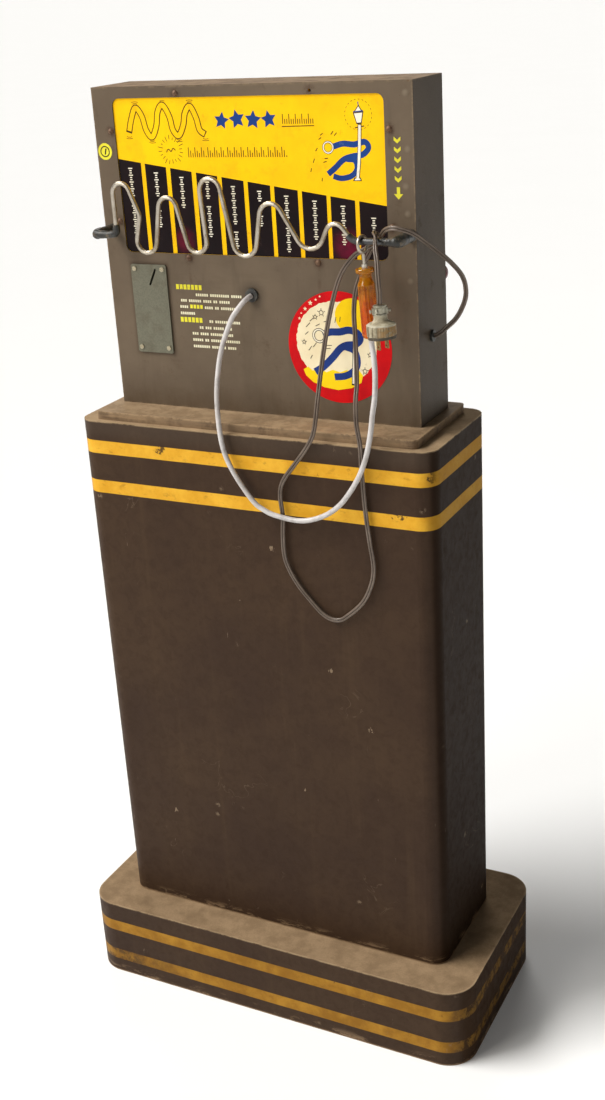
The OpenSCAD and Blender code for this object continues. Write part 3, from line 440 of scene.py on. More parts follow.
def cabinet_paint(name, box, z0, z1, stripes, back_y, low=False, flaked=(), chips=()):
    """Very dark brown paint on plywood with yellow bands, and bare wood inside.

    box is (half_x, half_y, corner radius), back_y where the bands stop, and low the plinth, which is kicked
    and worn more. flaked and chips are (x, z, size) of marks on the front."""
    f = Finish(name)
    out = f.rounded(*box)
    up = f.up()
    sides = f.size(f.normal[0])
    leather = f.noise(85, 5, 0.62, twist=0.6)
    fine = f.noise(420, 4, 0.65)
    f.base = f.mix(f.patch(0.3, 0.7, 5, 5, 0.6), (54, 38, 27), (64, 47, 32))
    f.over((46, 32, 23), f.remap(leather, 0.38, 0.68), 0.35)
    f.over((76, 58, 40), f.patch(0.52, 0.8, 7, 5, 0.6, stretch=(6, 6, 0.35), shift=(0.4, 0, 0)), 0.35)
    f.over((78, 60, 42), f.remap(fine, 0.55, 0.75), 0.3)
    f.over((76, 66, 56), f.remap(f.z, z1 - 0.034, z1 - 0.006, 0.0, 0.0 if low else 0.35))
    # Painted shade: the side faces are tinted brown and darkened to 0.42 (0.72 on the plinth), standing in for the
    # sides turned away from the light; their specular is lowered too.
    side_shade = f.remap(sides, 0.5, 0.95)
    f.over((66, 44, 24), side_shade, 0.5)
    paint = f.shade(f.base, f.remap(side_shade, 0, 1, 1.0, 0.72 if low else 0.42))
    # Yellow bands with a wavering edge
    height = f.add(f.mul(leather, 0.8), f.mul(fine, 0.35))
    zw = f.add(f.z, f.mul(f.sub(f.noise(20, 5, 0.6), 0.5), 0.0009))
    stripe = 0.0
    for lo, hi in stripes:
        stripe = f.high(stripe, f.band(zw, lo, hi, 0.0004))
    if back_y:
        stripe = f.mul(stripe, f.remap(f.y, back_y, back_y - 0.001))
    gone = f.patch(0.655, 0.69, 26, 9, 0.74, stretch=(0.8, 0.8, 1), shift=(2, 0, 1))
    front = f.remap(f.y, -0.080, -0.095)
    flake_noise = f.noise(150, 6, 0.7, shift=(1, 0, 2))
    for x, z, size in flaked:
        flake = f.remap(f.add(f.mul(f.spot(x, z, size, 0.9), 0.4), flake_noise), 0.80, 0.88)
        gone = f.high(gone, f.mul(flake, front))
    yellows = ((206, 150, 34), (222, 170, 52))
    if low:
        ends = f.remap(sides, 0.3, 0.9)
        gone = f.high(gone, f.mul(ends, f.patch(0.44, 0.56, 70, 7, 0.7, shift=(0, 4, 0))))
        left = f.mul(f.remap(f.x, -0.10, -0.28), f.remap(f.z, 0.06, 0.05))
        kicked = f.remap(f.noise(45, 7, 0.7, shift=(0, 4, 3)), 0.36, 0.62, 0.25, 1.0)
        gone = f.high(gone, f.mul(left, kicked))
        yellows = ((136, 94, 24), (168, 122, 38))
    f.base = f.mix(f.patch(0.35, 0.7, 25, 6, 0.65), *yellows)
    f.over((128, 88, 28), f.patch(0.56, 0.72, 95, 7, 0.7, stretch=(0.8, 0.8, 1.4)), 0.8 if low else 0.45)
    # Painted shade: the bands are also darker on the side faces.
    f.over((96, 70, 30), f.remap(sides, 0.4, 0.9), 0.8 if low else 0.5)
    stripe = f.mul(stripe, f.inv(f.mul(gone, 0.9)))
    f.base = f.mix(stripe, paint, f.base)
    height = f.add(height, f.mul(stripe, 0.25))
    # Chips and scratches down to pale filler
    chip = f.mul(f.dots(0.10, 16, shift=(0.3, 0.1, 0.2)), f.patch(0.45, 0.6, 160, 5, 0.7))
    nicks = f.patch(0.685, 0.72, 24, 9, 0.75, stretch=(1.2, 1.2, 0.5), shift=(6, 2, 5))
    chip = f.high(chip, f.mul(nicks, 0.9))
    chip_noise = f.noise(170, 6, 0.72, stretch=(1.3, 1.3, 0.55), shift=(4, 0, 2))
    for x, z, size in chips:
        mark = f.remap(f.add(f.mul(f.spot(x, z, size, 0.9), 0.5), chip_noise), 0.97, 1.02)
        chip = f.high(chip, f.mul(mark, front))
    scratch = f.patch(0.70, 0.73, 34, 6, 0.72, stretch=(2.6, 2.6, 0.3), shift=(1, 7, 3))
    scrawl = f.band(f.noise(19, 3, 0.5, twist=1.2, shift=(5, 1, 2)), 0.495, 0.503, 0.003)
    scrawl = f.mul(scrawl, f.patch(0.60, 0.66, 9, 4, 0.6, shift=(0, 3, 8)))
    chip = f.high(chip, f.high(f.mul(scratch, 0.6), f.mul(scrawl, 0.2)))
    f.over((142, 122, 98), chip, 0.75)
    height = f.add(height, f.mul(chip, -1.5))
    # Corners and lower edges rubbed
    top = f.remap(f.z, z1 - 0.0022, z1 - 0.0003)
    edge = f.high(f.mul(f.inv(up), top), f.mul(up, f.remap(out, -0.0035, -0.0004)))
    rub = f.mul(edge, f.patch(0.34, 0.56, 50, 7, 0.72, shift=(3, 3, 3)))
    worn = f.remap(f.noise(40, 5, 0.6, shift=(3, 5, 3)), 0.3, 0.5, 0.4, 0.9)
    foot = f.mul(f.remap(f.z, z0 + 0.0028, z0 + 0.0012), worn)
    scrape = f.patch(0.50, 0.60, 36, 7, 0.74, stretch=(0.6, 0.6, 2.2), shift=(3, 5, 9))
    scrape = f.mul(f.remap(f.z, z0 + 0.016, z0 + 0.002), scrape)
    f.over((134, 110, 84), f.mul(f.high(foot, f.mul(scrape, 0.8)), f.inv(up)))
    # Dust lying on top, a little darker on the plinth
    dust = f.mul(up, f.remap(f.noise(13, 6, 0.62, shift=(1, 1, 4)), 0.2, 0.6, 0.78, 0.97))
    dusts = ((134, 111, 84), (156, 131, 101)) if low else ((150, 127, 97), (172, 147, 115))
    grit = f.mix(f.patch(0.35, 0.66, 32, 7, 0.72, shift=(0, 0, 7)), *dusts)
    f.over(f.shade(grit, f.remap(f.noise(500, 3, 0.6), 0.3, 0.7, 0.93, 1.05)), dust)
    f.over((168, 144, 112), rub, 0.7)
    # Bare plywood wherever the surface is inside the skin
    inner = f.mul(f.remap(out, -0.0016, -0.0024), f.inv(up))
    grain = f.patch(0.35, 0.68, 24, 7, 0.6, stretch=(6, 6, 0.4), twist=0.8)
    f.over(f.mix(grain, (120, 92, 62), (164, 132, 92)), inner)
    return f.set(
        specular=f.remap(side_shade, 0, 1, 0.12, 0.04),
        rough=f.remap(f.add(leather, f.add(dust, f.mul(inner, 0.8))), 0.3, 1.3, 0.50, 0.92),
        normal=f.bump(height, 0.00035, 0.7),
    )


def boards(name, dark, light, dust, edge_rub=False):
    """Plywood with grain along X."""
    f = Finish(name)
    grain = f.noise(30, 7, 0.6, stretch=(0.25, 4, 4), twist=0.9)
    pores = f.noise(260, 3, 0.6, stretch=(0.12, 2, 2))
    f.base = f.mix(f.remap(grain, 0.33, 0.68), dark, light)
    f.base = f.shade(f.base, f.remap(pores, 0.35, 0.62, 0.78, 1.05))
    f.over(DIRT, f.patch(0.5, 0.75, 12, 6, 0.65, shift=(2, 0, 0)), 0.4)
    up = f.up()
    layer = f.mul(up, f.remap(f.noise(16, 6, 0.6), 0.25, 0.6, dust * 0.7, dust))
    f.over(f.mix(f.patch(0.4, 0.6, 40, 6, 0.7), (142, 118, 89), (168, 143, 111)), layer)
    if edge_rub:
        # The step board's edges, seen in plan and along its front
        line = f.mul(up, f.remap(f.rounded(0.243, 0.087, 0.008, -0.003), -0.004, -0.0003))
        front = f.mul(f.inv(up), f.high(f.remap(f.z, 0.9222, 0.9255), 0.35))
        rub = f.mul(f.high(line, front), f.patch(0.36, 0.56, 60, 6, 0.7, shift=(1, 2, 3)))
        f.over((160, 134, 102), rub, 0.85)
    return f.set(
        rough=f.remap(f.add(grain, pores), 0.6, 1.3, 0.6, 0.85), specular=0.3,
        normal=f.bump(f.add(f.mul(pores, 0.7), f.mul(grain, 0.6)), 0.00025, 0.7),
    )


def ink(name, color, second, wear, dirt, painted_glow=(), low=0.0):
    """Screen-printed ink: slight cloudiness, pinholes and handling wear, and, where given, a painted red glow of
    the lamps behind the panel.
    """
    f = Finish(name)
    cloud = f.noise(16, 5, 0.6)
    f.base = f.mix(f.remap(cloud, 0.32, 0.7), color, second)
    # Painted light: a red glow of the lamps behind the panel, laid into the ink's colour.
    for x, z, radius, shade in painted_glow:
        lit = f.mul(f.spot(x, z, radius, 0.8), f.remap(f.noise(90, 4, 0.6), 0.3, 0.6, 0.5, 1.0))
        f.over(shade, lit)
    pin = f.mul(f.dots(0.22, 420), f.patch(0.55, 0.7, 40, 4, 0.6, shift=(1, 0, 1)))
    scuff = f.patch(0.62, 0.70, 70, 7, 0.72, shift=(8, 0, 2))
    f.over(dirt, f.high(pin, scuff), wear)
    if low:
        f.over((190, 140, 20), f.patch(0.5, 0.72, 34, 6, 0.7, shift=(0, 2, 6)), low)
    return f.set(
        rough=f.remap(f.add(cloud, f.noise(600, 2, 0.5)), 0.6, 1.4, 0.336, 0.63),
        normal=f.bump(f.noise(700, 3, 0.6), 0.00003), specular=0.12,
    )


def emblem_ink(name):
    """Red ink, worn off in flecks."""
    f = Finish(name)
    f.base = f.mix(f.patch(0.32, 0.7, 24, 5, 0.6), (206, 8, 14), (184, 4, 16))
    f.over((120, 40, 30), f.patch(0.64, 0.70, 95, 8, 0.75), 0.5)
    return f.set(rough=0.45, specular=0.12, normal=f.bump(f.noise(600, 3, 0.6), 0.00003))


def wire_steel(name):
    """Drawn steel rod: satin, with brown tarnish in small spots."""
    f = Finish(name)
    patch = f.noise(38, 6, 0.65)
    fine = f.noise(700, 3, 0.6, stretch=(1, 1, 0.5))
    f.base = f.mix(f.remap(patch, 0.4, 0.7), (188, 180, 166), (150, 138, 120))
    spot = f.patch(0.62, 0.70, 150, 6, 0.7, shift=(1, 1, 1))
    f.over((96, 74, 54), spot, 0.6)
    return f.set(
        metal=f.remap(spot, 0, 1, 0.92, 0.4),
        rough=f.remap(f.add(fine, f.mul(patch, 0.7)), 0.5, 1.2, 0.26, 0.46),
        normal=f.bump(f.add(fine, spot), 0.00003),
    )


def amber(name):
    """Clear amber butyrate gone cloudy, gold above and orange below."""
    f = Finish(name)
    cloud = f.noise(60, 5, 0.6)
    fine = f.noise(500, 3, 0.6)
    part = f.remap(cloud, 0.35, 0.65)
    gold = f.mix(part, (222, 150, 6), (180, 104, 2))
    orange = f.mix(part, (238, 132, 0), (212, 92, 0))
    f.base = f.mix(f.remap(f.z, 1.082, 1.118), orange, gold)
    return f.set(
        through=0.62, ior=1.42, specular=0.3,
        rough=f.remap(f.add(fine, cloud), 0.7, 1.3, 0.07, 0.17),
        normal=f.bump(cloud, 0.00012, 0.5),
    )


def worn_plug(name):
    """Weathered rubber: dark vertical streaks over the grip, a pale band round the shoulder above it and a brown
    stain on one side.
    """
    f = Finish(name)
    cloud = f.noise(120, 5, 0.65)
    grip = f.band(f.z, 1.0680, 1.0815, 0.0005)
    ribs = f.mul(f.patch(0.46, 0.60, 330, 3, 0.6, stretch=(1, 1, 0.05)), grip)
    f.base = f.mix(f.remap(cloud, 0.35, 0.7), (176, 168, 144), (132, 122, 98))
    f.over((88, 74, 54), ribs, 0.75)
    stain = f.mul(f.mul(f.remap(f.x, 0.2165, 0.2245), grip), f.patch(0.35, 0.55, 180, 4, 0.6))
    f.over((154, 118, 68), stain, 0.8)
    f.over((196, 190, 170), f.band(f.z, 1.0808, 1.0828, 0.0004), 0.6)
    return f.set(
        rough=f.remap(cloud, 0.3, 0.7, 0.55, 0.8), specular=0.25,
        normal=f.bump(f.add(cloud, f.mul(ribs, -1.5)), 0.0004, 0.8),
    )


def cord_jacket(name, color, second, ribs):
    """Flexible cord jacket with fine extrusion lines and grime."""
    f = Finish(name)
    grime = f.patch(0.5, 0.74, 55, 6, 0.7, shift=(2, 2, 2))
    f.base = f.mix(f.patch(0.35, 0.7, 28, 5, 0.6), color, second)
    f.over(DIRT, grime, 0.4)
    fine = f.noise(ribs, 3, 0.6)
    return f.set(
        rough=f.remap(f.add(fine, grime), 0.4, 1.4, 0.38, 0.62), normal=f.bump(fine, 0.00005), coat=0.08,
    )


def bulb_glass(name):
    """Cloudy glass, and brass below the bulb."""
    f = Finish(name)
    haze = f.noise(80, 4, 0.6)
    cap = f.remap(f.y, -0.0085, -0.0075)
    glass = f.mix(f.remap(haze, 0.4, 0.7), (236, 224, 200), (214, 190, 150))
    f.base = f.mix(cap, glass, (184, 150, 84))
    return f.set(
        through=f.remap(cap, 0, 1, 0.8, 0.0), metal=cap, rough=f.remap(haze, 0.3, 0.8, 0.08, 0.3), ior=1.45,
        normal=f.bump(haze, 0.00005),
    )


use(head_paint("head_enamel"), "head_shell", "head_rear_door")
use(head_paint("head_enamel_front", panel=True), "front_panel")
use(
    cabinet_paint(
        "pedestal_brown", (0.268, 0.100, 0.025), 0.128, 0.914,
        stripes=((0.808, 0.827), (0.867, 0.886)), back_y=0.0975,
        flaked=((-0.071, 0.849, 0.020), (0.218, 0.840, 0.024), (0.267, 0.881, 0.014), (-0.135, 0.882, 0.010)),
        chips=(
            (0.029, 0.756, 0.009), (0.167, 0.501, 0.009), (-0.171, 0.294, 0.008),
            (0.110, 0.584, 0.006), (0.057, 0.381, 0.005), (-0.026, 0.671, 0.004),
        ),
    ),
    "pedestal_front_panel", "pedestal_side_panels", "pedestal_corner_posts",
    "pedestal_rear_frame", "pedestal_cap", "pedestal_rear_door",
)
use(
    cabinet_paint(
        "plinth_brown", (0.320, 0.155, 0.045), 0.0, 0.128,
        stripes=((0.023, 0.042), (0.079, 0.0975)), back_y=0.0, low=True,
    ),
    "plinth_top_board", "plinth_long_rails", "plinth_end_rails", "plinth_corner_blocks",
)
use(boards("step_board_brown", (96, 76, 56), (132, 108, 80), 0.75, edge_rub=True), "step_board")
use(boards("bare_plywood", (132, 100, 64), (178, 144, 98), 0.3), "pedestal_shelf", "component_board")

# Each row: material, colour, roughness, second colour, its amount (metals only), noise scale, the rest, pieces
METALS = (
    ("zinc_coin_plate", (108, 106, 90), 0.46, (86, 78, 60), 0.7, 45, {"metal": 0.5}, "coin_plate"),
    ("nickel_screws", (184, 174, 148), 0.30, (110, 92, 66), 0.5, 160, {}, "coin_plate_screws"),
    ("rusty_screw_heads", (112, 86, 66), 0.58, (74, 46, 32), 0.95, 220, {"metal": 0.45, "pits": 0.00015},
     "art_screws"),
    ("zinc_fasteners", (172, 168, 156), 0.36, (96, 84, 66), 0.5, 130, {}, "head_bolts panel_nuts board_spacers"),
    ("galvanised_sheet", (150, 150, 144), 0.40, (108, 104, 96), 0.6, 40, {}, "coin_chute lamp_bracket"),
    ("hinge_steel", (134, 124, 108), 0.46, (84, 60, 42), 0.8, 90, {"pits": 0.00008},
     "hinge_fixed_leaves head_door_leaves pedestal_door_leaves"),
    ("hinge_pin_steel", (120, 112, 100), 0.42, (84, 60, 42), 0.6, 140, {}, "hinge_pins"),
    ("lock_zinc", (168, 164, 154), 0.34, (100, 90, 72), 0.5, 120, {}, "pedestal_lock_body"),
    ("lock_brass", (176, 140, 72), 0.34, (98, 72, 36), 0.5, 120, {}, "pedestal_lock_cam"),
    ("spring_steel", (150, 148, 142), 0.30, (92, 80, 66), 0.4, 120, {}, "coin_lever head_lock_cam bell_striker"),
    ("socket_brass", (182, 148, 82), 0.34, (104, 80, 44), 0.5, 120, {}, "lamp_sockets"),
    ("prong_brass", (150, 124, 78), 0.42, (86, 68, 44), 0.7, 200, {}, "plug_prongs"),
    ("gong_nickel", (196, 190, 176), 0.22, (120, 104, 78), 0.4, 60, {}, "bell_gong"),
    ("coil_copper", (156, 86, 50), 0.38, (84, 50, 34), 0.5, 60, {"brush": (12, 0.2, 0.2)}, "bell_unit"),
    ("laminated_iron", (86, 84, 82), 0.52, (66, 50, 40), 0.7, 60, {"metal": 0.7, "brush": (0.2, 9, 0.2)},
     "transformer"),
    ("clamp_steel", (168, 164, 146), 0.46, (84, 74, 54), 0.8, 160, {"metal": 0.8, "pits": 0.0001}, "plug_clamp"),
    ("ferrule_steel", (206, 202, 192), 0.32, (120, 108, 88), 0.4, 200, {}, "wand_ferrule"),
)
PLASTICS = (
    ("cash_box_enamel", (70, 78, 80), 0.42, (56, 62, 66), 24, {"dust": 0.3}, "cash_box"),
    ("black_rubber", (52, 54, 50), 0.50, (36, 37, 36), 90, {"grain": 0.00012, "dust": 0.4},
     "cable_grommet power_grommet"),
    ("boot_rubber", (46, 47, 42), 0.44, (26, 26, 24), 60, {"grain": 0.0002, "dust": 0.75}, "rod_insulators"),
    ("sleeve_plastic", (46, 47, 48), 0.34, (30, 31, 33), 80, {"coat": 0.2, "dust": 0.25}, "start_sleeve"),
    ("switch_bakelite", (66, 40, 28), 0.36, (44, 28, 22), 90, {"coat": 0.2, "dust": 0.2},
     "coin_switch terminal_strip"),
    ("knob_red", (116, 22, 26), 0.40, (84, 16, 20), 70, {"coat": 0.2, "dust": 0.35}, "head_lock_knob"),
    ("plug_fibre", (74, 66, 52), 0.66, (54, 48, 38), 120, {"grain": 0.0001, "dust": 0.4}, "plug_face"),
)
for recipe, rows in ((plain_metal, METALS), (plastic, PLASTICS)):
    for *values, more, pieces in rows:
        use(recipe(*values, **more), *pieces.split())
use(worn_plug("plug_grey"), "plug_body")
use(wire_steel("rod_steel"), "game_rod", "wand_ring")
use(amber("amber_handle"), "wand_handle")
use(bulb_glass("bulb_glass"), "lamp_bulbs")
probe.data.materials.append(cord_jacket("white_cable", (198, 194, 192), (174, 168, 164), 600).mat)
power.data.materials.append(cord_jacket("brown_flex", (104, 90, 78), (82, 68, 56), 500).mat)

# ---------------------------------------------------------------- printed graphics
# Shapes are (points in mm as x, z; faces, or None for one outline).

ART_Y, FRONT_Y, EMBLEM_Y = -0.036, -0.0375, -0.0379
FILM = 0.00006
LIFT = 0.0000005  # between the shapes of one film


def print_layer(name, shapes, y, thick, finish):
    """A film of ink from y forwards."""
    verts, faces = [], []
    for layer, (pts, polys) in enumerate(shapes):
        n, base = len(pts), len(verts)
        front = y - thick - LIFT * layer
        polys = [tuple(range(n))] if polys is None else polys
        for depth in (front, y):
            verts += [(x / 1000, depth, z / 1000) for x, z in pts]
        edges = {}
        for poly in polys:
            for a, b in zip(poly, poly[1:] + poly[:1]):
                edges[(a, b)] = True
        for poly in polys:
            faces.append(tuple(base + i for i in poly))
            faces.append(tuple(base + n + i for i in reversed(poly)))
        for a, b in edges:
            if (b, a) not in edges:
                faces.append((base + b, base + a, base + n + a, base + n + b))
    obj = new_object(name, verts, faces, smooth=False)
    obj.data.materials.append(finish.mat)
    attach(obj, "cabinet")
    return obj


def ribbon(points, width, closed=False):
    """A stroke of even width along points, as one row of faces."""
    n = len(points)
    pts = []
    for i, (x, z) in enumerate(points):
        ax, az = points[(i - 1) % n] if closed or i else points[0]
        bx, bz = points[(i + 1) % n] if closed or i < n - 1 else points[-1]
        length = hypot(bx - ax, bz - az) or 1
        nx, nz = -(bz - az) / length, (bx - ax) / length
        pts += [(x + nx * width / 2, z + nz * width / 2), (x - nx * width / 2, z - nz * width / 2)]
    polys = []
    for i in range(n if closed else n - 1):
        j = (i + 1) % n
        polys.append((2 * i + 1, 2 * j + 1, 2 * j, 2 * i))
    return pts, polys


def curve_through(points, steps=8):
    path = smooth_path([(x, 0, z) for x, z in points], steps)
    return [(p.x * 1000, p.z * 1000) for p in path]


def disc(x, z, rx, rz, count, wobble=0.0, lobes=7):
    """A disc, or an oval, with an uneven edge where wobble isn't 0."""
    out = []
    for a in (2 * pi * k / count for k in range(count)):
        uneven = sin(lobes * a + 0.7) + 0.6 * sin((lobes * 2 + 3) * a) + 0.4 * cos((lobes * 5 + 1) * a)
        w = 1 + wobble * uneven
        out.append((x + rx * w * cos(a), z + rz * w * sin(a)))
    return out, None


def ring(x, z, radius, width, count=40):
    return ribbon([(x + dx, z + dz) for dx, dz in circle(count, radius)], width, closed=True)


def block(x, z, w, h, lean=0.0):
    s = tan(radians(lean)) * h
    return [(x, z), (x + w, z), (x + w + s, z + h), (x + s, z + h)], None


def stroke(x0, z0, x1, z1, width):
    return ribbon([(x0, z0), (x1, z1)], width)


def ray(x, z, a, r0, r1, width, squash=1.0):
    """A stroke away from a centre, at angle a."""
    (x0, z0), (x1, z1) = [(x + r * cos(a), z + r * sin(a) * squash) for r in (r0, r1)]
    return stroke(x0, z0, x1, z1, width)


def star(x, z, radius, inner=0.45, turn=0.3):
    pts = []
    for k, (dx, dz) in enumerate(circle(10, 1.0, turn)):
        r = radius if k % 2 == 0 else radius * inner
        pts.append((x + r * dx, z + r * dz))
    return pts, None


yellow_ink = ink("art_yellow", (250, 198, 0), (243, 186, 0), 0.3, (150, 96, 16), low=0.28)
# The dark columns carry a painted red glow round two lamps behind the panel.
black_ink = ink(
    "art_maroon_black", (16, 7, 9), (24, 9, 12), 0.16, (100, 70, 58),
    painted_glow=((-0.105, 1.157, 0.013, (92, 12, 34)), (0.136, 1.154, 0.017, (96, 6, 38))),
)
line_ink = ink("art_line_brown", (70, 48, 14), (50, 34, 12), 0.35, (200, 150, 20))
blue_ink = ink("art_blue", (28, 64, 132), (22, 52, 114), 0.35, (120, 130, 150))
white_ink = ink("art_white", (240, 234, 216), (226, 216, 190), 0.3, (150, 132, 100))
use(yellow_ink, "art_panel")

# Ten dark columns under a falling line, with the two lower corners rounded
COLUMNS = (
    (-197.2, -162.4), (-156.4, -124.1), (-117.7, -85.6), (-79, -47.7), (-41.2, -9.3),
    (-3.2, 28.9), (34.6, 67.9), (73.8, 108), (113.4, 147), (152.7, 190.2),
)
FLOOR_Z, CORNER = 1139.8, 9.7


def fall(x):
    return 1262.6 - (x + 197.3) * 56 / 386.3


bars = []
for n, (x0, x1) in enumerate(COLUMNS):
    turns = [radians(a) for a in range(0, 91, 10)]
    left, right = [(x0, FLOOR_Z)], [(x1, FLOOR_Z)]
    if n == 0:
        left = [(x0 + CORNER - CORNER * cos(a), FLOOR_Z + CORNER - CORNER * sin(a)) for a in turns]
    if n == 9:
        right = [(x1 - CORNER + CORNER * sin(a), FLOOR_Z + CORNER - CORNER * cos(a)) for a in turns]
    bars.append((left + right + [(x1, fall(x1)), (x0, fall(x0))], None))
print_layer("art_dark_columns", bars, ART_Y, 0.00010, black_ink)

# A plain ladder of scale marks down each column, in the runs where it carried words
RUNS = ((5, 6), (4, 4), (5,), (3, 5), (6, 7), (2, 3), (4, 5), (6,), (6,), (3,))
marks = []
for n, ((x0, x1), runs) in enumerate(zip(COLUMNS, RUNS)):
    mid = (x0 + x1) / 2
    z = fall(mid) - (17 if n == 9 else 9)
    for run in runs:
        for k in range(3 * run - 1):
            if z < 1145:
                break
            w = 6.4 if k % 3 == 0 else 3.4
            marks.append(block(mid - w / 2, z - 1.4, w, 1.4))
            z -= 2.95
        z -= 8.0
print_layer("art_column_dashes", marks, ART_Y - 0.0001, 0.00008, white_ink)

# First title: a shaking wave drawn in outline, with tremor marks at each turn
WAVE = [
    (-176, 1296), (-171, 1312), (-163, 1327), (-154, 1317), (-149, 1299), (-141, 1290.5),
    (-133, 1304), (-129, 1322), (-121, 1330), (-112, 1316), (-108, 1299), (-100, 1292),
    (-92, 1305), (-88, 1320), (-80, 1328), (-72, 1314), (-68, 1299), (-60, 1293),
]
TURNS = (
    (-163, 1327, 1), (-141, 1290.5, -1), (-121, 1330, 1), (-100, 1292, -1),
    (-80, 1328, 1), (-60, 1293, -1), (-176, 1296, -1),
)
ART_TOP = 1336.8
wave = curve_through(WAVE, 7)
print_layer("title_wave_edge", [ribbon(wave, 9.2)], ART_Y, 0.00007, line_ink)
print_layer("title_wave_inner", [ribbon(wave[1:-1], 6.4)], ART_Y - 0.00007, FILM, yellow_ink)
ticks = []
for x, z, side in TURNS:
    for k, span in ((0, 5.5), (1, 7.0)):
        arc = []
        for a in range(-45, 46, 15):
            drop = 1.2 * (1 - cos(radians(a * 1.4)))
            arc.append((x + span * sin(radians(a)), z + side * (5.6 + 2.1 * k - drop)))
        if side < 0 or arc[3][1] <= ART_TOP:
            ticks.append(ribbon(arc, 0.75))
# Rays round a small wave
for k in range(20):
    r0, r1 = 12.5 + (k % 3) * 0.8, 17.0 + (k * 7 % 4) * 1.1
    ticks.append(ray(-113.8, 1273.9, 2 * pi * k / 20 + 0.1, r0, r1, 0.8, 0.95))
ripple = curve_through([(-121, 1271), (-117.5, 1275), (-114, 1272), (-110.5, 1276), (-107, 1273.5)], 5)
ticks.append(ribbon(ripple, 1.3))
# Plain scale marks, long and short
for k in range(15):
    ticks.append(block(52 + 3.0 * k, 1305.0, 1.1, 12.0 if k % 3 == 0 else 6.0))
ticks.append(stroke(51, 1302.0, 96, 1302.6, 1.1))
for k in range(45):
    h = (12.6, 5.5, 8.5)[(k * 2) % 3] if k % 9 != 8 else 2.2
    ticks.append(block(-88 + 3.25 * k, 1264.6 + 0.01 * k, 1.15, h))
print_layer("art_fine_lines", ticks, ART_Y, FILM, line_ink)

# Second title: four solid stars, each tipped its own way
STARS = ((-35, 1310, 11.2, 80), (-12.5, 1311.5, 12, 101), (10.5, 1310.5, 12, 84), (33, 1311, 11.2, 99))
bold = [star(x, z, r, 0.5, radians(a)) for x, z, r, a in STARS]
print_layer("title_bold_stars", bold, ART_Y, 0.00008, blue_ink)

# Street lamp with a wave of wire and a ring in front of it: brown edges, white middles, blue lines
edges = [
    ([(153.4, 1303.8), (160.3, 1304.3), (163.2, 1318.6), (148.8, 1317.5)], None),
    ([(150.2, 1318.2), (161.6, 1319.2), (156.8, 1326.5)], None),
    ribbon([(157.4, 1304), (156.2, 1280), (154.6, 1258), (151.8, 1238)], 5.2),
    stroke(151.0, 1299.5, 163.5, 1301.6, 1.3),
    ([(145.5, 1236.2), (157.6, 1236.4), (156.2, 1240.6), (147.6, 1240.4)], None),
]
fills = [
    ([(153.9, 1305.4), (159.4, 1305.8), (161.6, 1317.2), (150.5, 1316.4)], None),
    ([(152.2, 1319.0), (159.8, 1319.7), (156.6, 1324.6)], None),
    ribbon([(157.3, 1303), (156.1, 1280), (154.5, 1258), (151.9, 1239.4)], 3.4),
    ([(147.6, 1237.2), (156.0, 1237.4), (155.0, 1239.6), (148.8, 1239.4)], None),
    ring(113.5, 1276.5, 6.6, 1.5),
]
for k in range(22):
    a, b = 2 * pi * k / 22, 2 * pi * k / 22 + 0.13
    edges.append(stroke(156 + 18 * cos(a), 1315 + 18 * sin(a), 156 + 18 * cos(b), 1315 + 18 * sin(b), 0.6))
edges.append(ring(113.5, 1276.5, 6.6, 2.9))
LONG_WIRE = [
    (120, 1277.5), (134, 1281), (149, 1280), (163, 1283), (168, 1276), (160, 1268), (147, 1266), (134, 1262),
    (122, 1252), (112, 1244.5),
]
SHORT_WIRE = [(138, 1262.5), (149, 1261), (151.5, 1251), (144, 1242.5), (130, 1239.5), (119, 1242)]
lines = [
    stroke(149.6, 1318.4, 162.4, 1319.3, 1.5), stroke(156.6, 1325.5, 156.0, 1330.0, 1.2),
    ribbon(curve_through(LONG_WIRE), 7.2), ribbon(curve_through(SHORT_WIRE), 6.8),
]
SPARKS = (
    (101, 1286, 104.5, 1288.4), (103.4, 1291, 107, 1293.4), (118, 1292, 121.5, 1296), (122.6, 1290.5, 126, 1294),
    (96, 1272, 99, 1276), (92, 1258, 94, 1263), (88, 1247, 89.4, 1251.5), (108, 1263, 112.5, 1263.6),
    (106, 1258.6, 110.6, 1259.8), (103, 1235.6, 103.6, 1240),
)
edges += [stroke(*spark, 1.1) for spark in SPARKS]
print_layer("art_lamp_outline", edges, ART_Y, FILM, line_ink)
print_layer("art_lamp_white", fills, ART_Y - FILM, FILM, white_ink)
print_layer("art_wire_wave", lines, ART_Y - FILM / 2, FILM, blue_ink)

# Round emblem: the same scene in a disc, each colour a film over the one before
EM, EM_FILM = "emblem_print", 0.00004
cream_ink = ink("emblem_cream", (238, 226, 192), (226, 210, 172), 0.5, (168, 146, 110))
moon_ink = ink("emblem_yellow", (248, 214, 20), (238, 196, 10), 0.3, (190, 130, 30))
navy_ink = ink("emblem_blue", (34, 60, 130), (26, 48, 108), 0.3, (110, 116, 140))
thin_ink = ink("emblem_black", (36, 30, 28), (52, 44, 38), 0.4, (190, 176, 150))
use(emblem_ink("emblem_red"), "round_emblem")
GROUND = [
    (63, 993), (66, 985), (76, 976.5), (92, 970.5), (112, 968), (132, 972), (146, 980), (149, 990), (143, 997),
    (134, 993), (126, 996), (116, 992), (106, 995), (96, 991), (86, 996), (76, 992), (70, 997),
]
LONG_CURL = [
    (94, 1041), (104, 1045), (118, 1046), (131, 1049), (143, 1046), (147, 1038), (140, 1031), (128, 1029),
    (118, 1024), (106, 1011), (92, 998), (80, 990.5),
]
SHORT_CURL = [(125, 1027), (138, 1022), (142, 1008), (137, 996), (124, 988), (108, 985.5)]
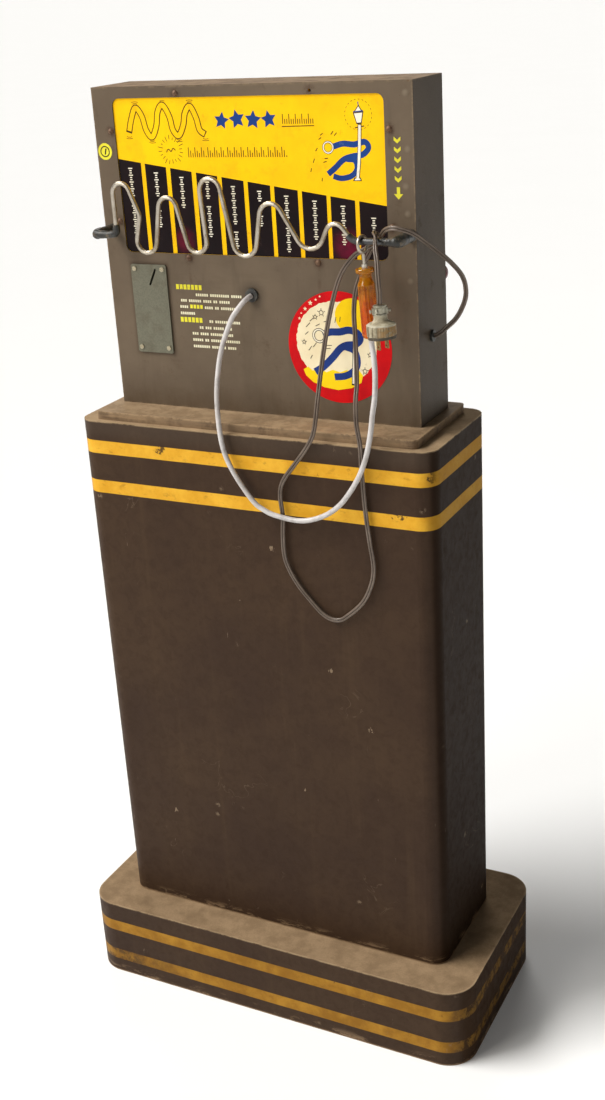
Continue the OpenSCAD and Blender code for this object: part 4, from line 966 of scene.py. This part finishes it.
curls = [ribbon(curve_through(LONG_CURL), 9.6), ribbon(curve_through(SHORT_CURL), 9.2)]
fine = [ribbon([(141.5, 1086), (139.5, 1050), (137, 1010), (134.5, 976)], 4.6), ring(88.5, 1039.5, 8.2, 3.6)]
post = [ribbon([(141.4, 1084.5), (139.4, 1050), (136.9, 1010), (134.7, 978)], 2.8), ring(88.5, 1039.5, 8.2, 1.9)]
EM_SPARKS = (
    (70, 1050, 76, 1056), (68, 1040, 73, 1044), (79, 1024, 84, 1030), (72, 1019, 77, 1025), (74, 1008, 77, 1013),
    (76, 1058, 82, 1063), (96, 1058, 103, 1060), (101, 1066, 107, 1069), (112, 1058, 114, 1065),
    (119, 1059, 120, 1066), (84, 1052, 90, 1055), (98, 1027, 106, 1027.6), (97, 1023, 104, 1023.4),
)
fine += [stroke(*spark, 0.9) for spark in EM_SPARKS]
for x, z, r in ((93, 1070, 4.6), (84, 1064, 3.2), (152, 996, 4.2), (160, 1018, 3.2), (66, 1030, 3.0)):
    fine.append(ring(x, z, r * 0.62, 0.8, 14))
    fine += [ray(x, z, a, r * 0.8, r * 1.25, 0.8) for a in (0.3, 1.56, 2.8, 4.1, 5.3)]
EM_STARS = ((78, 1082, 3.6), (86, 1086.5, 2.0), (70, 1074, 3.0), (92, 1091, 1.8), (64, 1068, 1.6), (61, 1061, 2.2))
cream = [disc(112.5, 1031.0, 57.5, 54.5, 160, 0.008, 23)]
print_layer("emblem_cream_field", cream, EMBLEM_Y, FILM, cream_ink)
for name, shapes, lift, finish in (
    ("emblem_ground", [(GROUND, None)], 0.00006, moon_ink),
    ("emblem_moon", [disc(137, 1067, 24.5, 23.5, 72, 0.004, 9)], 0.0001, moon_ink),
    ("emblem_wire_wave", curls, 0.00014, navy_ink),
    ("emblem_fine_lines", fine, 0.00018, thin_ink),
    ("emblem_post_white", post, 0.00022, white_ink),
):
    print_layer(name, shapes, EMBLEM_Y - lift, EM_FILM, finish)
print_layer("emblem_stars", [star(*place) for place in EM_STARS], EMBLEM_Y, FILM, cream_ink)

# Face of the cabinet: price disc, direction marks, instruction lines
DECAL, PAINT = "decal_ink", 0.0002
face_yellow = ink("face_yellow", (226, 218, 62), (208, 196, 50), 0.45, (118, 102, 70))
face_white = ink("face_white", (232, 226, 196), (214, 206, 172), 0.55, (124, 108, 86))
face_black = ink("face_black", (44, 40, 30), (60, 54, 40), 0.4, (200, 190, 70))
face = [disc(-216, 1272.3, 10.8, 10.8, 56)]
for z in (1289 - 11.5 * k for k in range(5)):
    chevron = [(202.3, z - 4.2), (206.6, z - 7.8), (211, z - 4.2), (211, z), (206.6, z - 3.6), (202.3, z)]
    face.append((chevron, None))
ARROW = [
    (206.5, 1215), (212.5, 1221.4), (208.6, 1221.4), (208.6, 1229.6), (204.4, 1229.6), (204.4, 1221.4),
    (200.5, 1221.4),
]
face.append((ARROW, None))
for x, z, count in ((-124, 1091.8, 7), (-121, 1047.2, 6)):
    face += [block(x + 5.9 * k, z, 4.4, 6.6) for k in range(count)]
front_print = print_layer("face_yellow_print", face, FRONT_Y, PAINT, face_yellow)
price = [ring(-216, 1272.3, 6.6, 1.5), block(-217.0, 1268.4, 2.0, 7.8, lean=12)]
print_layer("face_price_mark", price, FRONT_Y - PAINT, 0.00008, face_black)
# Each instruction line: where it starts, and the lengths of its words; 0 is a larger yellow word
LINES = (
    (-94, 1083.4, (6, 9, 5)), (-118, 1075.0, (3, 6, 4, 2, 5)), (-120, 1066.4, (4, 0, 4, 2, 7)),
    (-120, 1057.6, (7,)), (-76, 1047.8, (2, 6, 5)), (-92, 1038.8, (2, 3, 5, 3)), (-104, 1030.2, (3, 4, 6, 4)),
    (-104, 1021.6, (5, 2, 6, 7)), (-104, 1012.6, (8, 4, 2, 4)),
)
words, key_word = [], []
for x, z, lengths in LINES:
    for letters in lengths:
        if letters == 0:
            key_word += [block(x + 5.2 * k, z, 3.8, 5.0) for k in range(4)]
            x += 22.8
            continue
        words += [block(x + 3.3 * k, z, 2.3, 3.5) for k in range(letters)]
        x += 3.3 * letters + 2.6
print_layer("face_white_print", words, FRONT_Y, PAINT, face_white)
print_layer("face_key_words", key_word, FRONT_Y, PAINT, face_yellow)
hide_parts("front_decals")

# ---------------------------------------------------------------- rod boots

BOOT_SIDES, BOOT_LUMPS = 40, 0.05
ROD_Y, LEFT_Z, RIGHT_Z = -82.5, 1171, 1171.5
RISE_X = -180  # where the rod turns up at its left end


def boot(name, points, radii):
    """Rubber boot moulded over the rod's end: a tube of changing width in mm with soft ridges."""
    path = smooth_path(points, 8)
    verts = []
    total = len(path) - 1
    side = Vector((0, 0, 1))
    for i, (p, t) in enumerate(zip(path, tangents(path))):
        at = i / total * (len(radii) - 1)
        k = min(int(at), len(radii) - 2)
        blend = at - k
        blend = blend * blend * (3 - 2 * blend)
        r = (radii[k] * (1 - blend) + radii[k + 1] * blend) / 1000
        side = (side - t * side.dot(t)).normalized()
        across = t.cross(side)
        for a in (2 * pi * m / BOOT_SIDES for m in range(BOOT_SIDES)):
            ridge = 0.5 * sin(i * 0.9 + a) + 0.35 * sin(2 * a + i * 0.33) + 0.25 * sin(i * 2.1)
            verts.append(p + (side * cos(a) + across * sin(a)) * (r * (1 + BOOT_LUMPS * ridge)))
    obj = new_object(name, verts, tube_faces(len(path), BOOT_SIDES), sharp=50)
    obj.data.materials.append(nodes["rod_insulators"].data.materials[0])
    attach(obj, "cabinet")
    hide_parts("rod_insulators")


boot(
    "rod_boot_left",
    [(-215, y, LEFT_Z) for y in (-37.6, -50, -62, -72)]
    + [(-212.7, -80.2, LEFT_Z), (-207, ROD_Y, LEFT_Z), (RISE_X - 12, ROD_Y, LEFT_Z)]
    + [(RISE_X - 2.3, ROD_Y, 1173.3), (RISE_X, ROD_Y, 1179), (RISE_X, ROD_Y, 1184)],
    (6.6, 6.4, 6.2, 6.6, 6.9, 5.4, 4.8, 5.0, 4.9, 4.3),
)
boot(
    "rod_boot_right",
    [(x, ROD_Y, RIGHT_Z) for x in (203, 205, 210, 214.5)]
    + [(219.7, -80.2, RIGHT_Z)]
    + [(222, y, RIGHT_Z) for y in (-74, -62, -50, -37.6)],
    (4.7, 5.0, 5.0, 5.6, 7.0, 7.4, 7.2, 6.8, 7.6),
)

# ---------------------------------------------------------------- wand core


def wand_core():
    """Orange tang seen through the amber handle, fluted on four sides."""
    lean = radians(3.3)
    ring_z = 1.1715 + 0.0045 + 0.00005 - 0.010 * cos(lean) + 0.002
    profile = (
        (0, -56), (2.2, -56.2), (2.6, -64), (4.4, -70), (5, -82), (5.2, -98), (4.4, -106), (2.8, -110), (0, -111),
    )
    sides = 20
    verts = []
    for r, z in profile:
        for a in (2 * pi * k / sides for k in range(sides)):
            flute = r * (1 + 0.10 * cos(4 * a))
            verts.append(Vector((flute * cos(a), flute * sin(a), z)) / 1000)
    place = Matrix.Translation((0.176, -0.0825, ring_z)) @ Matrix.Rotation(-lean, 4, "Y")
    faces = tube_faces(len(profile), sides, caps=False)
    obj = new_object("wand_handle_core", [place @ v for v in verts], faces)
    bm = bmesh.new()
    bm.from_mesh(obj.data)
    bmesh.ops.remove_doubles(bm, verts=bm.verts, dist=1e-6)
    bmesh.ops.dissolve_degenerate(bm, edges=bm.edges, dist=1e-6)
    bm.to_mesh(obj.data)
    bm.free()
    f = Finish("handle_core_orange")
    cloud = f.noise(90, 5, 0.6, stretch=(1, 1, 0.4))
    f.base = f.mix(f.remap(cloud, 0.35, 0.65), (238, 84, 0), (222, 112, 4))
    f.set(rough=0.4, normal=f.bump(cloud, 0.0002))
    obj.data.materials.append(f.mat)
    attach(obj, "wand")


wand_core()

# ---------------------------------------------------------------- plug

PLUG = Matrix.Translation((0.2147, -0.125, 1.105)) @ Matrix.Rotation(radians(-3), 4, "Y")
PLUG = PLUG @ Matrix.Rotation(radians(60), 4, "Z")
WAIST_R, GRIP_R, GRIP_FLAT = 12.5, 18.0, 18.6
SCREW_Z = -0.0072


def join_parts(name, parts, sharp, node):
    """One mesh from (verts, faces) parts, in the place of a node of the frame."""
    verts, faces = [], []
    for v, f in parts:
        base = len(verts)
        verts += v
        faces += [tuple(base + i for i in face) for face in f]
    obj = new_object(name, verts, faces, sharp=sharp)
    obj.data.materials.append(nodes[node].data.materials[0])
    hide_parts(node)
    return obj


def lathe(profile, count, place, shape=None):
    """A closed part turned about its own Z, from (r, z) in mm; shape(angle, r) may change the radius."""
    verts = []
    for r, z in profile:
        for a in (2 * pi * k / count for k in range(count)):
            rr = shape(a, r) if shape else r
            verts.append(place @ Vector((rr * cos(a) / 1000, rr * sin(a) / 1000, z / 1000)))
    return verts, tube_faces(len(profile), count)


def facet(a, r):
    """Ten flats round the plug, with a groove at each corner of the grip and fine ribs between."""
    if r <= WAIST_R:
        return r
    step = pi / 5
    off = (a % step) - step / 2
    flat = r * cos(step / 2) / cos(off) * 1.035
    if r > GRIP_R:
        corner = exp(-(((abs(off) - step / 2) / 0.07) ** 2))
        flat = min(flat, GRIP_FLAT) - 0.8 * corner - 0.3 * (0.5 + 0.5 * cos(off * 30))
    return flat


def sideways(spin, reach):
    """A place on the clamp at this distance from the plug's axis, with its Z pointing away from it."""
    return spin @ Matrix.Translation((reach, 0, SCREW_Z)) @ Matrix.Rotation(radians(90), 4, "Y")


def screw_head(place, radius, height):
    """Round head, its axis along the place's Z."""
    steps = [(radius * cos(t), height * sin(t)) for t in map(radians, (0, 20, 40, 60, 78))]
    return lathe([(radius * 0.96, -0.6)] + steps, 28, place)


BODY = (
    (12, -37), (16.8, -37), (17.8, -36.6), (18.4, -35.6), (18.5, -34.5), (18.5, -25.2), (18.4, -24), (17.7, -23.1),
    (16, -22.3), (13, -21.1), (11.2, -20.2), (9.8, -19.2), (8.8, -18), (8.4, -16.5), (8.4, -12.2), (7.6, -12.1),
)
CLAMP = (
    (7.4, -12.8), (8, -12.6), (8.2, -11.8), (8, -10.8), (7, -10), (6.9, -4.2), (7.2, -3), (8.2, -2.2),
    (8.5, -1.2), (8.2, -0.4), (6.6, -0.2), (3.6, -0.8),
)
LUG = ((-0.0034, -0.0110), (0.0034, -0.0110), (0.0030, -0.0036), (-0.0030, -0.0036))
LUG_FACES = [(0, 1, 2, 3), (7, 6, 5, 4), (0, 4, 5, 1), (1, 5, 6, 2), (2, 6, 7, 3), (3, 7, 4, 0)]
plug_body = join_parts("plug_body_ribbed", [lathe(BODY, 160, PLUG, facet)], 30, "plug_body")
clamp_parts = [lathe(CLAMP, 64, PLUG)]
# Two screws on lugs, and one that holds the clamp to the body
for turn, lug in ((330, True), (150, True), (200, False)):
    spin = PLUG @ Matrix.Rotation(radians(turn), 4, "Z")
    clamp_parts.append(screw_head(sideways(spin, 0.0118 if lug else 0.0082), 2.6, 1.2))
    if lug:
        clamp_parts.append(lathe([(1.2, 0), (1.2, 5.6)], 20, sideways(spin, 0.0060)))
        corners = [spin @ Vector((x, y, z)) for x in (0.0058, 0.0096) for y, z in LUG]
        clamp_parts.append((corners, LUG_FACES))
plug_clamp = join_parts("plug_strain_clamp", clamp_parts, 40, "plug_clamp")
for piece in (plug_body, plug_clamp):
    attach(piece, "cabinet")

# ---------------------------------------------------------------- floor and light

FLOOR_R, FLOOR_DROP = 1500, 0.0005


def make_floor():
    bm = bmesh.new()
    bmesh.ops.create_circle(bm, cap_ends=True, segments=96, radius=FLOOR_R)
    mesh = bpy.data.meshes.new("floor")
    bm.to_mesh(mesh)
    bm.free()
    floor = bpy.data.objects.new("floor", mesh)
    scene.collection.objects.link(floor)
    f = Finish("floor_pale")
    f.base = f.mix(f.noise(1.5, 3, 0.5), (251, 251, 250), (248, 248, 247))
    f.set(rough=0.85, specular=0.1)
    f.shader.inputs["Emission Color"].default_value = (1, 1, 1, 1)
    f.shader.inputs["Emission Strength"].default_value = 0.03
    mesh.materials.append(f.mat)
    floor.location.z = -FLOOR_DROP


def make_world():
    """White round the horizon, which fills the top of the picture, and a dimmer sky above."""
    world = bpy.data.worlds.new("studio")
    world.use_nodes = True
    tree = world.node_tree
    tree.nodes.clear()
    out, back, coord, split, size, ramp = [
        tree.nodes.new("ShaderNode" + kind)
        for kind in ("OutputWorld", "Background", "TexCoord", "SeparateXYZ", "Math", "MapRange")
    ]
    size.operation = "ABSOLUTE"
    for a, b in (
        (coord.outputs["Generated"], split.inputs[0]), (split.outputs[2], size.inputs[0]),
        (size.outputs[0], ramp.inputs[0]), (ramp.outputs[0], back.inputs["Strength"]),
        (back.outputs[0], out.inputs[0]),
    ):
        tree.links.new(a, b)
    for i, v in ((1, 0.015), (2, 0.06), (3, 1.0), (4, 0.10)):
        ramp.inputs[i].default_value = v
    back.inputs["Color"].default_value = (1.0, 0.99, 0.97, 1)
    scene.world = world


SUN_COLOR, LAMP_COLOR = (1.0, 0.985, 0.96), (1.0, 0.96, 0.90)


def make_lights():
    """A broad sun from the left, a fainter one from behind, and two lamps in front."""
    for name, kind, color, energy, width, spot, aim in (
        ("sky", "SUN", SUN_COLOR, 3.4, {"angle": 0.5}, (-0.62, -0.34, 0.72), (0, 0, 0)),
        ("rear_sky", "SUN", SUN_COLOR, 0.8, {"angle": 0.5}, (-0.35, 0.75, 0.55), (0, 0, 0)),
        ("key", "AREA", LAMP_COLOR, 30, {"size": 1.0}, (-1.2, -2.1, 2.5), (-0.05, 0, 1.0)),
        ("front", "AREA", LAMP_COLOR, 4, {"size": 1.4}, (-0.35, -2.6, 1.5), (0, 0, 0.9)),
    ):
        data = bpy.data.lights.new(name, kind)
        data.color, data.energy = color, energy
        for key, value in width.items():
            setattr(data, key, value)
        lamp = bpy.data.objects.new(name, data)
        lamp.location = spot
        lamp.rotation_euler = (Vector(aim) - Vector(spot)).to_track_quat("-Z", "Y").to_euler()
        scene.collection.objects.link(lamp)


make_floor()
make_world()
make_lights()
